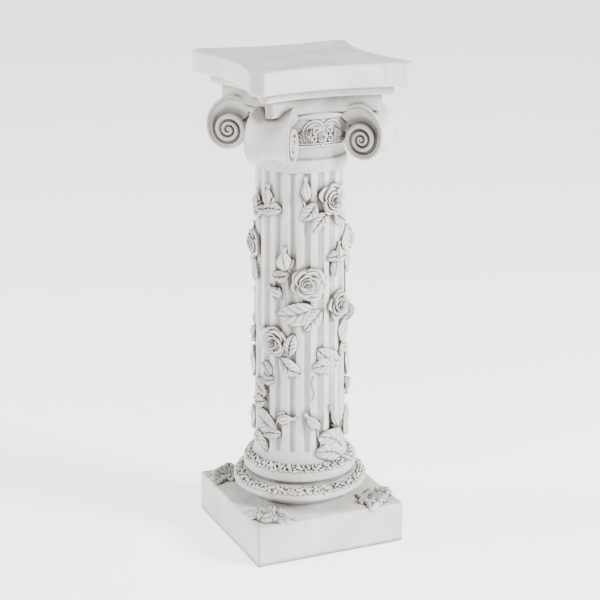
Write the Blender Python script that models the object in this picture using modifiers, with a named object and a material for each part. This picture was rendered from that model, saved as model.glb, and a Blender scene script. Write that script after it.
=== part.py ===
"""A column pedestal: a fluted, rose-grown shaft between a square plinth and a volute capital.

The whole pedestal is one casting. A turned core is fluted, and everything else is joined to it
by one union: plinth, wreaths, flowers, capital and top slab.
"""
import math

import bmesh
import bpy
from mathutils import Matrix, Vector

# Plinth
PLINTH_WIDTH = 0.2466
PLINTH_HEIGHT = 0.0650
PLINTH_EDGE = 0.0025

# Base mouldings, from the plinth upwards
FOOT_RADIUS = 0.0932
FOOT_HEIGHT = 0.0186
SKIRT_SPREAD = 0.0070
LOWER_BAND_RADIUS = 0.1038
LOWER_BAND_HEIGHT = 0.0114
LOWER_WREATH_HEIGHT = 0.0070
SCOTIA_RADIUS = 0.0865
SCOTIA_HEIGHT = 0.0067
UPPER_BAND_RADIUS = 0.0877
UPPER_BAND_HEIGHT = 0.0163
UPPER_WREATH_HEIGHT = 0.0090
BAND_BULGE = 0.0015

# Relief of the leaf wreaths on the two sloping bands
WREATH_HEIGHT = 0.0045

# Shaft and flutes
SHAFT_LOW_RADIUS = 0.0717
SHAFT_TOP_RADIUS = 0.0685
SHAFT_LENGTH = 0.4606
FLARE_WIDTH = 0.0045
FLARE_HEIGHT = 0.0130
FLUTE_COUNT = 20
FLUTE_WIDTH = 0.0125
FLUTE_DEPTH = 0.0035
FLUTE_START = 0.0160
# The drum sits a little turned against the square plinth and slab
DRUM_TURN = math.radians(2.0)

# Collar, neck and echinus under the capital
COLLAR_RADIUS = 0.0701
COLLAR_HEIGHT = 0.0204
NECK_RADIUS = 0.0670
NECK_HEIGHT = 0.0190
LOWER_FILLET_RADIUS = 0.0710
LOWER_FILLET_HEIGHT = 0.0050
ECHINUS_LOW_RADIUS = 0.0700
ECHINUS_TOP_RADIUS = 0.0750
ECHINUS_HEIGHT = 0.0370
ROLL_RADIUS = 0.0790
ROLL_HEIGHT = 0.0100

# Square tiers over the echinus: width, corner cut, hollow of each side
BLOCK_WIDTH = 0.1880
BLOCK_HEIGHT = 0.0250
BLOCK_CUT = 0.0080
FILLET_WIDTH = 0.2150
FILLET_HEIGHT = 0.0140
FILLET_CUT = 0.0080
SLAB_WIDTH = 0.2628
SLAB_HEIGHT = 0.0350
SLAB_CUT = 0.0167
SLAB_EDGE = 0.0040
SIDE_HOLLOW = 0.0200

# Corner volutes
VOLUTE_REACH = 0.1410
VOLUTE_WIDTH = 0.0690
VOLUTE_TAPER = math.radians(7.0)
VOLUTE_RISE = 0.0120
WHORL_PITCH = 0.0115
WHORL_TURNS = 3.0
EYE_RADIUS = 0.0035
CREST_FLARE = 0.0150
CREST_TURN = 0.25
BAND_HOLLOW = 0.0085
RIDGE_RADIUS = 0.0048
RIDGE_TURNS = 2.1
FACE_INSET = 0.0030
# Turns from the top at which the wheel's outline and its ridge start, and where the outline ends
WHEEL_START = -0.04
RIDGE_START = -0.08
WHEEL_END = 0.70
# Share of the neck's radius at which a volute is rooted in the column
ROOT_SHARE = 0.8

# Growth on the shaft: how far it stands out of the wall, and how deep it is rooted in it
ROSE_HEIGHT = 0.0140
LEAF_EDGE = 0.0018
LEAF_RIB = 0.0045
LEAF_SHAPE = 0.58
BUD_RADIUS = 0.0062
ROOT_DEPTH = 0.0060

# Capital relief and plinth corners
RELIEF_WIDTH = 0.0400
RELIEF_LENGTH = 0.0190
CORNER_LEAF_LENGTH = 0.0300
CORNER_LEAF_WIDTH = 0.0170

# How finely round forms are cut
TURN_STEPS = 40
FLUTE_STEPS = 8
ROSE_SIDES = 9
BUD_SIDES = 5
WHEEL_STEPS = 14
WHORL_STEPS = 9
SIDE_STEPS = 6

# What the joined casting keeps after its needless slivers are taken out
FLAT_ANGLE = 0.2
KEPT_SHARE = 0.70
SLIVER_WIDTH = 0.00002
SAME_POINT = 0.00001

# Levels, each the sum of what stands below it
BASE_LEVEL = PLINTH_HEIGHT + FOOT_HEIGHT
LOWER_WREATH_LEVEL = BASE_LEVEL + LOWER_BAND_HEIGHT
SCOTIA_LEVEL = LOWER_WREATH_LEVEL + LOWER_WREATH_HEIGHT
UPPER_BAND_LEVEL = SCOTIA_LEVEL + SCOTIA_HEIGHT
UPPER_WREATH_LEVEL = UPPER_BAND_LEVEL + UPPER_BAND_HEIGHT
SHAFT_LEVEL = UPPER_WREATH_LEVEL + UPPER_WREATH_HEIGHT
COLLAR_LEVEL = SHAFT_LEVEL + SHAFT_LENGTH
NECK_LEVEL = COLLAR_LEVEL + COLLAR_HEIGHT
LOWER_FILLET_LEVEL = NECK_LEVEL + NECK_HEIGHT
ECHINUS_LEVEL = LOWER_FILLET_LEVEL + LOWER_FILLET_HEIGHT
ROLL_LEVEL = ECHINUS_LEVEL + ECHINUS_HEIGHT
BLOCK_LEVEL = ROLL_LEVEL + ROLL_HEIGHT
FILLET_LEVEL = BLOCK_LEVEL + BLOCK_HEIGHT
SLAB_LEVEL = FILLET_LEVEL + FILLET_HEIGHT

# The growth on the shaft. Angles are in degrees round the axis, the front being -90.
# Heights are shares of the shaft's length, directions are in degrees from level.
# Rose: angle, share, radius
ROSES = (
    (-71, 0.910, 0.0268),
    (-103, 0.634, 0.0285),
    (-60, 0.547, 0.0240),
    (-150, 0.429, 0.0265),
    (-194, 0.742, 0.0240),
    (-27, 0.497, 0.0180),
)
# Bud: angle and share of its foot, direction, length, radius
BUDS = (
    (-107, 0.912, 92, 0.036, 0.0068),
    (-156, 0.890, 90, 0.031, 0.0080),
    (-178, 0.872, 86, 0.029, 0.0078),
    (-133, 0.680, 90, 0.035, 0.0105),
    (-137, 0.588, 147, 0.026, 0.0072),
    (-62, 0.703, 85, 0.027, 0.0066),
    (-141, 0.158, 6, 0.028, 0.0080),
    (-91, 0.125, 129, 0.034, 0.0080),
    (-62, 0.114, 112, 0.042, 0.0062),
    (-27, 0.262, 268, 0.029, 0.0064),
)
# Leaf: angle and share of its foot, direction, length
LEAVES = (
    (-96, 0.903, 232, 0.033),
    (-80, 0.864, 229, 0.034),
    (-67, 0.862, -33, 0.033),
    (-166, 0.868, 8, 0.034),
    (-162, 0.871, 196, 0.024),
    (-192, 0.856, 3, 0.028),
    (-128, 0.663, 188, 0.028),
    (-99, 0.548, 193, 0.053),
    (-89, 0.538, 231, 0.038),
    (-58, 0.708, 174, 0.026),
    (-62, 0.708, -12, 0.026),
    (-138, 0.371, -36, 0.038),
    (-127, 0.388, 78, 0.032),
    (-168, 0.292, 2, 0.026),
    (-180, 0.275, -42, 0.032),
    (-188, 0.190, 14, 0.034),
    (-61, 0.350, 148, 0.045),
    (-65, 0.332, 175, 0.042),
    (-52, 0.030, 148, 0.056),
    (-60, 0.010, 162, 0.046),
    (-145, 0.113, 140, 0.046),
    (-162, 0.090, 12, 0.030),
    (-184, 0.075, -33, 0.038),
    (-31, 0.800, 264, 0.048),
    (-24, 0.720, 262, 0.040),
    (-40, 0.490, 258, 0.044),
    (-36, 0.060, 82, 0.042),
    (-190, 0.690, 282, 0.034),
    (-200, 0.372, 268, 0.050),
    (-198, 0.150, 264, 0.036),
)
# What is at least this long, and a rose of at least this radius, also grows on the far side
TWIN_LENGTH = 0.040
TWIN_RADIUS = 0.020
HALF_TURN = 180


def clear_scene():
    for item in list(bpy.data.objects):
        bpy.data.objects.remove(item, do_unlink=True)


def make_collection(name):
    collection = bpy.data.collections.new(name)
    bpy.context.scene.collection.children.link(collection)
    return collection


def resin_material():
    """Cast resin under a matt antique-white wash."""
    material = bpy.data.materials.new("antique_white_resin")
    material.use_nodes = True
    shader = material.node_tree.nodes["Principled BSDF"]
    shader.inputs["Base Color"].default_value = (0.62, 0.61, 0.58, 1.0)
    shader.inputs["Roughness"].default_value = 0.62
    shader.inputs["Metallic"].default_value = 0.0
    return material


def add_object(name, mesh, collection):
    item = bpy.data.objects.new(name, mesh)
    collection.objects.link(item)
    return item


def as_cutter(item):
    item.hide_render = True
    item.display_type = "WIRE"
    return item


def on_column(angle, level, radius):
    """A map from a flat pattern (right, up, out) to a round wall at this angle and level."""
    def place(right, up, out):
        turn = math.radians(angle) + right / radius
        reach = radius + out
        return Vector((reach * math.cos(turn), reach * math.sin(turn), level + up))
    return place


def on_shaft(angle, share):
    level = SHAFT_LEVEL + share * SHAFT_LENGTH
    return on_column(angle, level, shaft_radius(level))


def corner_angle(corner):
    return math.radians(45 + 90 * corner)


def on_plinth(corner, reach):
    """A map from a flat pattern to the plinth top, with "up" running out over a corner."""
    turn = corner_angle(corner)
    outward = Vector((math.cos(turn), math.sin(turn), 0))
    across = Vector((outward.y, -outward.x, 0))

    def place(right, up, out):
        return outward * (reach + up) + across * right + Vector((0, 0, PLINTH_HEIGHT + out))
    return place


def shaft_radius(level):
    """Radius of the shaft between the flutes: a straight taper, flared at the foot."""
    share = (level - SHAFT_LEVEL) / SHAFT_LENGTH
    straight = SHAFT_LOW_RADIUS + (SHAFT_TOP_RADIUS - SHAFT_LOW_RADIUS) * share
    flare = max(0.0, 1.0 - (level - SHAFT_LEVEL) / FLARE_HEIGHT)
    return straight + FLARE_WIDTH * flare ** 2


def loft(name, rings, collection):
    """A closed solid through rings of equally many points, with one face at each end."""
    shape = bmesh.new()
    loops = [[shape.verts.new(point) for point in ring] for ring in rings]
    sides = len(loops[0])
    for lower, upper in zip(loops, loops[1:]):
        for index in range(sides):
            following = (index + 1) % sides
            shape.faces.new((lower[index], lower[following], upper[following], upper[index]))
    bmesh.ops.triangulate(shape, faces=shape.faces)
    shape.faces.new(loops[0])
    shape.faces.new(loops[-1])
    bmesh.ops.recalc_face_normals(shape, faces=shape.faces)
    mesh = bpy.data.meshes.new(name)
    shape.to_mesh(mesh)
    shape.free()
    return as_cutter(add_object(name, mesh, collection))


def closed_band(name, rings, collection):
    """A ring-shaped solid: each of its long lines is one closed loop of points."""
    shape = bmesh.new()
    loops = [[shape.verts.new(point) for point in ring] for ring in rings]
    sides = len(loops[0])
    for lower, upper in zip(loops, loops[1:] + loops[:1]):
        for index in range(sides):
            following = (index + 1) % sides
            shape.faces.new((lower[index], lower[following], upper[following], upper[index]))
    bmesh.ops.recalc_face_normals(shape, faces=shape.faces)
    bmesh.ops.triangulate(shape, faces=shape.faces)
    mesh = bpy.data.meshes.new(name)
    shape.to_mesh(mesh)
    shape.free()
    return as_cutter(add_object(name, mesh, collection))


def curve_to_mesh(curve_object, collection):
    """The curve's solid as a mesh object, its caps welded."""
    bpy.context.view_layer.update()
    evaluated = curve_object.evaluated_get(bpy.context.evaluated_depsgraph_get())
    mesh = bpy.data.meshes.new_from_object(evaluated)
    shape = bmesh.new()
    shape.from_mesh(mesh)
    bmesh.ops.remove_doubles(shape, verts=shape.verts, dist=SAME_POINT)
    bmesh.ops.recalc_face_normals(shape, faces=shape.faces)
    bmesh.ops.triangulate(shape, faces=shape.faces)
    shape.to_mesh(mesh)
    shape.free()
    solid = add_object(curve_object.name + "_solid", mesh, collection)
    solid.matrix_world = curve_object.matrix_world.copy()
    bpy.data.objects.remove(curve_object, do_unlink=True)
    return as_cutter(solid)


def tube(name, points, radii, collection, matrix=None, flat=False):
    """A rod along the points, as thick at each as its radius says."""
    curve = bpy.data.curves.new(name, "CURVE")
    curve.dimensions = "2D" if flat else "3D"
    curve.bevel_depth = 1.0
    curve.bevel_resolution = 0
    curve.use_fill_caps = True
    if flat:
        curve.fill_mode = "NONE"
    spline = curve.splines.new("POLY")
    spline.points.add(len(points) - 1)
    for knot, point, radius in zip(spline.points, points, radii):
        knot.co = (*point, 1.0)
        knot.radius = radius
    item = add_object(name, curve, collection)
    if matrix is not None:
        item.matrix_world = matrix
    return curve_to_mesh(item, collection)


def core_profile():
    """Outer line of the turned core, from the top of the block down to the plinth."""
    below_block = BLOCK_LEVEL + BLOCK_HEIGHT / 2
    echinus = []
    for step in range(3):
        share = step / 2
        swell = math.sin(math.pi / 2 * share)
        radius = ECHINUS_TOP_RADIUS + (ECHINUS_LOW_RADIUS - ECHINUS_TOP_RADIUS) * (1 - swell)
        echinus.append((radius, ECHINUS_LEVEL + ECHINUS_HEIGHT * share))
    echinus.reverse()
    roll_middle = ROLL_LEVEL + ROLL_HEIGHT / 2
    upper_middle = UPPER_BAND_LEVEL + UPPER_BAND_HEIGHT / 2
    lower_middle = BASE_LEVEL + LOWER_BAND_HEIGHT / 2
    flare_top = SHAFT_LEVEL + FLARE_HEIGHT
    flare_middle = SHAFT_LEVEL + FLARE_HEIGHT / 2
    return [
        (0.0, below_block),
        (ROLL_RADIUS, below_block),
        (ROLL_RADIUS, roll_middle),
        *echinus,
        (LOWER_FILLET_RADIUS, ECHINUS_LEVEL),
        (LOWER_FILLET_RADIUS, LOWER_FILLET_LEVEL),
        (NECK_RADIUS, LOWER_FILLET_LEVEL),
        (NECK_RADIUS, NECK_LEVEL),
        (COLLAR_RADIUS, NECK_LEVEL),
        (COLLAR_RADIUS, COLLAR_LEVEL),
        (shaft_radius(COLLAR_LEVEL), COLLAR_LEVEL),
        (shaft_radius(flare_top), flare_top),
        (shaft_radius(flare_middle), flare_middle),
        (shaft_radius(SHAFT_LEVEL), SHAFT_LEVEL),
        (UPPER_BAND_RADIUS, UPPER_WREATH_LEVEL),
        (UPPER_BAND_RADIUS + BAND_BULGE, upper_middle),
        (UPPER_BAND_RADIUS, UPPER_BAND_LEVEL),
        (SCOTIA_RADIUS - BAND_BULGE, UPPER_BAND_LEVEL),
        (SCOTIA_RADIUS, SCOTIA_LEVEL),
        (LOWER_BAND_RADIUS, LOWER_WREATH_LEVEL),
        (LOWER_BAND_RADIUS + BAND_BULGE, lower_middle),
        (LOWER_BAND_RADIUS, BASE_LEVEL),
        (FOOT_RADIUS, BASE_LEVEL),
        (FOOT_RADIUS, PLINTH_HEIGHT + SKIRT_SPREAD),
        (FOOT_RADIUS + SKIRT_SPREAD, PLINTH_HEIGHT),
        (FOOT_RADIUS + SKIRT_SPREAD, PLINTH_HEIGHT / 2),
        (0.0, PLINTH_HEIGHT / 2),
    ]


def turned(name, profile, collection, steps):
    """A profile of (radius, level) points turned round the axis and closed at both ends."""
    mesh = bpy.data.meshes.new(name)
    points = [(radius, 0.0, level) for radius, level in profile]
    edges = [(index, index + 1) for index in range(len(points) - 1)]
    mesh.from_pydata(points, edges, [])
    item = add_object(name, mesh, collection)
    screw = item.modifiers.new("turn", "SCREW")
    screw.axis = "Z"
    screw.steps = steps
    screw.render_steps = steps
    screw.use_merge_vertices = True
    screw.merge_threshold = SAME_POINT
    weld = item.modifiers.new("weld_poles", "WELD")
    weld.merge_threshold = SAME_POINT
    return item


def flute_cutters(collection):
    """Long rounded-end rods laid round the shaft, which leave one hollow each."""
    hollow_radius = (FLUTE_WIDTH ** 2 / 4 + FLUTE_DEPTH ** 2) / (2 * FLUTE_DEPTH)
    rod_radius = hollow_radius / math.cos(math.pi / FLUTE_STEPS)
    foot = SHAFT_LEVEL + FLUTE_START
    low_reach = shaft_radius(foot) + hollow_radius - FLUTE_DEPTH
    top_reach = shaft_radius(COLLAR_LEVEL) + hollow_radius - FLUTE_DEPTH
    length = COLLAR_LEVEL - foot
    lean = math.atan2(low_reach - top_reach, length)
    end_points = []
    for step in range(2):
        turn = math.pi / 2 * step / 2
        end_points.append((rod_radius * math.cos(turn), rod_radius * (1 - math.sin(turn))))
    profile = [(0.0, length), (rod_radius, length), *end_points, (0.0, 0.0)]
    for index in range(FLUTE_COUNT):
        cutter = turned("flute_%02d" % index, profile, collection, FLUTE_STEPS)
        turn = Matrix.Rotation(DRUM_TURN + math.tau * index / FLUTE_COUNT, 4, "Z")
        place = Matrix.Translation((low_reach, 0, foot)) @ Matrix.Rotation(-lean, 4, "Y")
        flat_inward = Matrix.Rotation(math.pi / FLUTE_STEPS, 4, "Z")
        cutter.matrix_world = turn @ place @ flat_inward
        as_cutter(cutter)


def tier_outline(width, cut):
    """Square outline with cut corners and sides hollowed as shallow arcs."""
    half = width / 2
    reach = half - cut
    points = []
    for side in range(4):
        turn = Matrix.Rotation(math.pi / 2 * side, 2)
        for step in range(SIDE_STEPS + 1):
            along = reach * (2 * step / SIDE_STEPS - 1)
            hollow = SIDE_HOLLOW * (1 - (along / reach) ** 2)
            points.append(turn @ Vector((along, hollow - half)))
    return points


def tier(name, width, cut, level, height, edge, collection):
    curve = bpy.data.curves.new(name, "CURVE")
    curve.dimensions = "2D"
    curve.fill_mode = "BOTH"
    curve.extrude = height / 2
    outline = tier_outline(width, cut)
    spline = curve.splines.new("POLY")
    spline.points.add(len(outline) - 1)
    for knot, point in zip(spline.points, outline):
        knot.co = (point.x, point.y, 0.0, 1.0)
    spline.use_cyclic_u = True
    item = add_object(name, curve, collection)
    item.location.z = level + height / 2
    solid = curve_to_mesh(item, collection)
    if edge > 0:
        round_edges(solid, edge)
    return solid


def round_edges(item, width):
    bevel = item.modifiers.new("soft_edges", "BEVEL")
    bevel.width = width
    bevel.segments = 2
    bevel.limit_method = "ANGLE"
    bevel.angle_limit = math.radians(35)


def plinth(collection):
    mesh = bpy.data.meshes.new("plinth")
    shape = bmesh.new()
    size = Matrix.Diagonal((PLINTH_WIDTH, PLINTH_WIDTH, PLINTH_HEIGHT, 1.0))
    middle = Matrix.Translation((0, 0, PLINTH_HEIGHT / 2))
    bmesh.ops.create_cube(shape, size=1.0, matrix=middle @ size)
    shape.to_mesh(mesh)
    shape.free()
    block = as_cutter(add_object("plinth", mesh, collection))
    round_edges(block, PLINTH_EDGE)


def whorl_radius(turns):
    """Distance of the ribbon from the eye: an even spiral that flares up into its crest."""
    even = EYE_RADIUS + WHORL_PITCH * (WHORL_TURNS - turns)
    flare = max(0.0, 1.0 - max(turns, 0.0) / CREST_TURN)
    return even + CREST_FLARE * flare ** 1.5


def volute_eye():
    """Distance of a volute's eye from the axis, and its level."""
    reach = VOLUTE_REACH - whorl_radius(CREST_TURN)
    level = BLOCK_LEVEL + VOLUTE_RISE - whorl_radius(0.0)
    return reach, level


def volute(corner, collection):
    """One corner volute: a thick wheel with a hollowed rim and a spiral ridge on each face."""
    reach, level = volute_eye()
    corner_turn = Matrix.Rotation(corner_angle(corner), 4, "Z")
    half_at_eye = VOLUTE_WIDTH / 2 - whorl_radius(CREST_TURN) * math.tan(VOLUTE_TAPER)
    neck_root = (ROOT_SHARE * NECK_RADIUS - reach, 0.35 * (LOWER_FILLET_LEVEL - level))
    block_root = (ROOT_SHARE * NECK_RADIUS - reach, BLOCK_LEVEL + VOLUTE_RISE / 2 - level)
    rings = []
    for across in (-1.0, -0.55, 0.0, 0.55, 1.0):
        outline = []
        for step in range(WHEEL_STEPS + 1):
            turns = WHEEL_START + (WHEEL_END - WHEEL_START) * step / WHEEL_STEPS
            radius = whorl_radius(turns) - BAND_HOLLOW * (1 - across ** 2)
            outline.append((radius * math.sin(math.tau * turns), radius * math.cos(math.tau * turns)))
        outline += [neck_root, block_root]
        ring = []
        for outward, upward in outline:
            half = half_at_eye - FACE_INSET + outward * math.tan(VOLUTE_TAPER)
            ring.append(corner_turn @ Vector((reach + outward, across * half, level + upward)))
        rings.append(ring)
    loft("volute_%d" % corner, rings, collection)

    points, radii = [], []
    ridge_steps = int(WHORL_STEPS * (RIDGE_TURNS - RIDGE_START))
    for step in range(ridge_steps + 1):
        turns = RIDGE_START + (RIDGE_TURNS - RIDGE_START) * step / ridge_steps
        thin = 1 - 0.45 * max(turns, 0.0) / RIDGE_TURNS
        radius = whorl_radius(turns) - RIDGE_RADIUS * thin
        points.append((radius * math.sin(math.tau * turns), radius * math.cos(math.tau * turns), 0.0))
        radii.append(RIDGE_RADIUS * thin)
    for side in (-1, 1):
        stand = Matrix.Rotation(math.pi / 2, 4, "X")
        splay = Matrix.Rotation(side * VOLUTE_TAPER, 4, "Z")
        place = Matrix.Translation((reach, side * (half_at_eye - FACE_INSET), level))
        tube("ridge_%d_%d" % (corner, side), points, radii, collection,
             corner_turn @ place @ splay @ stand, flat=True)


def rose(name, place, radius, height, collection):
    """Stepped rings of petals: each ring is a wavy outline, raised at its lip."""
    shares = (0.85, 1.00, 0.74, 0.48, 0.20)
    lifts = (None, 0.42, 0.85, 0.62, 1.00)
    rings = []
    for order, (share, lift) in enumerate(zip(shares, lifts)):
        ring = []
        for side in range(ROSE_SIDES):
            turn = math.tau * (side + order / 2) / ROSE_SIDES
            wave = 1 + 0.07 * math.cos(math.tau * (side + order) / 3)
            reach = radius * share * wave
            out = -ROOT_DEPTH if lift is None else height * lift
            ring.append(place(reach * math.cos(turn), reach * math.sin(turn), out))
        rings.append(ring)
    loft(name, rings, collection)


def leaf(name, place, direction, length, width, collection):
    """A pointed leaf: raised along its midrib, thin at its edges, rooted in what bears it."""
    turn = math.radians(direction)
    along = Vector((math.cos(turn), math.sin(turn)))
    aside = Vector((-along.y, along.x))
    rings = []
    for share, spread in ((0.0, 0.25), (0.35, 1.0), (0.72, 0.78), (1.0, 0.06)):
        centre = along * (length * share)
        half = width / 2 * spread
        arch = 0.35 + 0.65 * math.sin(math.pi * min(1.0, share + 0.25) * 0.8)
        section = ((half, LEAF_EDGE), (0.0, LEAF_RIB * arch + LEAF_EDGE / 2),
                   (-half, LEAF_EDGE), (-0.8 * half, -ROOT_DEPTH), (0.8 * half, -ROOT_DEPTH))
        ring = []
        for offset, out in section:
            spot = centre + aside * offset
            ring.append(place(spot.x, spot.y, out))
        rings.append(ring)
    loft(name, rings, collection)


def bud(name, place, direction, length, radius, collection):
    """A closed flower bud: a spindle lying half sunk on what bears it."""
    turn = math.radians(direction)
    along = Vector((math.cos(turn), math.sin(turn)))
    aside = Vector((-along.y, along.x))
    rings = []
    for share, fat in ((0.0, 0.40), (0.28, 1.0), (0.65, 0.75), (1.0, 0.14)):
        ring = []
        for side in range(BUD_SIDES):
            spin = math.tau * side / BUD_SIDES
            centre = along * (length * share)
            spot = centre + aside * (radius * fat * math.cos(spin))
            out = radius * (0.35 + fat * math.sin(spin))
            ring.append(place(spot.x, spot.y, out))
        rings.append(ring)
    loft(name, rings, collection)


def twin_turns(size, least):
    return (0, HALF_TURN) if size >= least else (0,)


def growth(collection):
    """Roses, buds and leaves on the shaft, the larger ones again on the far side."""
    for index, (angle, share, radius) in enumerate(ROSES):
        for turn in twin_turns(radius, TWIN_RADIUS):
            name = "rose_%d_%d" % (index, turn)
            rose(name, on_shaft(angle + turn, share), radius, ROSE_HEIGHT, collection)
    for index, (angle, share, direction, length, radius) in enumerate(BUDS):
        for turn in twin_turns(length, TWIN_LENGTH):
            bud("bud_%d_%d" % (index, turn), on_shaft(angle + turn, share), direction, length,
                radius, collection)
    for index, (angle, share, direction, length) in enumerate(LEAVES):
        for turn in twin_turns(length, TWIN_LENGTH):
            leaf("leaf_%d_%d" % (index, turn), on_shaft(angle + turn, share), direction, length,
                 length * LEAF_SHAPE, collection)


def wreath(name, inner_radius, inner_level, outer_radius, outer_level, collection):
    """A ring of small leaves on a sloping band: its crest sways from side to side and dips
    between one leaf and the next."""
    slope = Vector((outer_radius - inner_radius, outer_level - inner_level))
    middle = Vector((inner_radius, inner_level)) + slope / 2
    normal = Vector((-slope.y, slope.x)).normalized()
    rings = []
    for offset, even, odd in ((-0.42, 0.0, 0.0), (-0.18, 1.0, 0.2), (0.18, 0.2, 1.0),
                              (0.42, 0.0, 0.0), (0.0, -1.2, -1.2)):
        ring = []
        for index in range(TURN_STEPS):
            turn = math.tau * index / TURN_STEPS
            spot = middle + slope * offset + normal * (WREATH_HEIGHT * (odd if index % 2 else even))
            ring.append(Vector((spot.x * math.cos(turn), spot.x * math.sin(turn), spot.y)))
        rings.append(ring)
    closed_band(name, rings, collection)


def relief(side, collection):
    """Two lobed leaves rising from a bud on the echinus, between two volutes."""
    middle = ECHINUS_LEVEL + ECHINUS_HEIGHT * 0.3
    radius = (ECHINUS_LOW_RADIUS + ECHINUS_TOP_RADIUS) / 2
    place = on_column(90 * side, middle, radius)
    bud("relief_bud_%d" % side, place, 90, RELIEF_LENGTH, BUD_RADIUS, collection)
    for hand in (-1, 1):
        spot = on_column(90 * side + hand * math.degrees(RELIEF_WIDTH / 4 / radius), middle, radius)
        leaf("relief_leaf_%d_%d" % (side, hand), spot, 90 - 50 * hand, RELIEF_LENGTH,
             RELIEF_LENGTH * LEAF_SHAPE, collection)


def corner_cluster(corner, collection):
    """A spray of leaves round a bud on each corner of the plinth top."""
    reach = (PLINTH_WIDTH / math.sqrt(2) + FOOT_RADIUS) / 2
    for order, direction in enumerate((10, 90, 170)):
        foot = Vector((math.cos(math.radians(direction)), math.sin(math.radians(direction))))
        flat = on_plinth(corner, reach)

        def place(right, up, out, foot=foot, flat=flat):
            return flat(right + foot.x * CORNER_LEAF_WIDTH / 4, up + foot.y * CORNER_LEAF_WIDTH / 4, out)
        leaf("corner_%d_leaf_%d" % (corner, order), place, direction, CORNER_LEAF_LENGTH,
             CORNER_LEAF_WIDTH, collection)
    bud("corner_%d_bud" % corner, on_plinth(corner, reach), -90, CORNER_LEAF_WIDTH, BUD_RADIUS,
        collection)


def build():
    clear_scene()
    parts = make_collection("column_pedestal")
    joined = make_collection("joined_forms")
    flutes = make_collection("flute_cutters")

    flute_cutters(flutes)
    plinth(joined)
    wreath("upper_wreath_leaf", shaft_radius(SHAFT_LEVEL), SHAFT_LEVEL,
           UPPER_BAND_RADIUS, UPPER_WREATH_LEVEL, joined)
    wreath("lower_wreath_leaf", SCOTIA_RADIUS, SCOTIA_LEVEL,
           LOWER_BAND_RADIUS, LOWER_WREATH_LEVEL, joined)
    growth(joined)
    overlap = min(BLOCK_HEIGHT, FILLET_HEIGHT, SLAB_HEIGHT) / 4
    tier("block", BLOCK_WIDTH, BLOCK_CUT, BLOCK_LEVEL, BLOCK_HEIGHT + overlap, 0.0, joined)
    tier("fillet", FILLET_WIDTH, FILLET_CUT, FILLET_LEVEL, FILLET_HEIGHT + overlap, 0.0, joined)
    tier("slab", SLAB_WIDTH, SLAB_CUT, SLAB_LEVEL, SLAB_HEIGHT, SLAB_EDGE, joined)
    for corner in range(4):
        volute(corner, joined)
        relief(corner, joined)
        corner_cluster(corner, joined)

    pedestal = turned("column_pedestal", core_profile(), parts, TURN_STEPS)
    cut = pedestal.modifiers.new("cut_flutes", "BOOLEAN")
    cut.operation = "DIFFERENCE"
    cut.operand_type = "COLLECTION"
    cut.collection = flutes
    join = pedestal.modifiers.new("join_forms", "BOOLEAN")
    join.operation = "UNION"
    join.operand_type = "COLLECTION"
    join.collection = joined
    weld = pedestal.modifiers.new("weld_slivers", "WELD")
    weld.merge_threshold = SLIVER_WIDTH
    flat = pedestal.modifiers.new("dissolve_flats", "DECIMATE")
    flat.decimate_type = "DISSOLVE"
    flat.angle_limit = math.radians(FLAT_ANGLE)
    split = pedestal.modifiers.new("split_to_triangles", "TRIANGULATE")
    split.min_vertices = 4
    light = pedestal.modifiers.new("lighten", "DECIMATE")
    light.ratio = KEPT_SHARE
    pedestal.data.materials.append(resin_material())


build()
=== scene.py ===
# %% [markdown]
# # A column pedestal grown over with roses
#
# The object is one hollow casting in resin: a square plinth, a moulded foot with two leaf
# wreaths, a fluted shaft, and a capital with four corner scrolls under a square slab.
# The measured solid is loaded first. It fixes every size, and each piece made below
# lies where that solid lies.

# %% Load the measured solid
import math

import bmesh
import bpy
import numpy as np
from mathutils import Matrix, Vector


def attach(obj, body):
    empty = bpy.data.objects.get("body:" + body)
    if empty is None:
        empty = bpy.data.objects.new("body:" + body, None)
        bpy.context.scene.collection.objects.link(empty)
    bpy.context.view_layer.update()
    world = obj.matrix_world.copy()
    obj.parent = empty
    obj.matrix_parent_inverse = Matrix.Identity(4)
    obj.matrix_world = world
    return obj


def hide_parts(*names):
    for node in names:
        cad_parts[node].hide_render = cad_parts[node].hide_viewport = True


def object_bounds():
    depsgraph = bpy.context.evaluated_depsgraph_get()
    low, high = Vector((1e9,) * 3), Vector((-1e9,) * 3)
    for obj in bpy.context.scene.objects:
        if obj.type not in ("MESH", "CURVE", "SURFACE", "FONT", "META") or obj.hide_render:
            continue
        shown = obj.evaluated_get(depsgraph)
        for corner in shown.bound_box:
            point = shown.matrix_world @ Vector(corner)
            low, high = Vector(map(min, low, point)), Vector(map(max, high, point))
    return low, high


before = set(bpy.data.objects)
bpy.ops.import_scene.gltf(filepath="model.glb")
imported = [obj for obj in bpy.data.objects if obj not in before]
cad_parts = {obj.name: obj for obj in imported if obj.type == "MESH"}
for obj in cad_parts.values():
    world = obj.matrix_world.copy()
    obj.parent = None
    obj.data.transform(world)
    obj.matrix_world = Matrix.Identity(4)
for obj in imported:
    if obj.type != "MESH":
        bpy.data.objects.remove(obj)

cad_low, cad_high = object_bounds()
TOP = cad_high.z
print("solid reaches", [round(value, 4) for value in cad_high])

# %% [markdown]
# ## The camera
#
# The picture was taken from the left of the front face, a little above the top slab, with a
# long lens. The camera is placed by how far it turns round the column, how high it looks
# from, how far off it stands and how long its lens is. It could also be aimed with a
# Track To constraint, but a matrix keeps the small roll of the picture.

# %% Place the camera
VIEW_TURN = math.radians(-24.07)
VIEW_RISE = math.radians(16.87)
VIEW_ROLL = math.radians(0.18)
CAMERA_PLACE = Vector((-1.0182, -2.2788, 1.1355))
LENS_MM = 100.56
SENSOR_MM = 36.0


def add_object(name, data):
    """A new object with this data, linked into the scene."""
    made = bpy.data.objects.new(name, data)
    bpy.context.scene.collection.objects.link(made)
    return made


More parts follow.
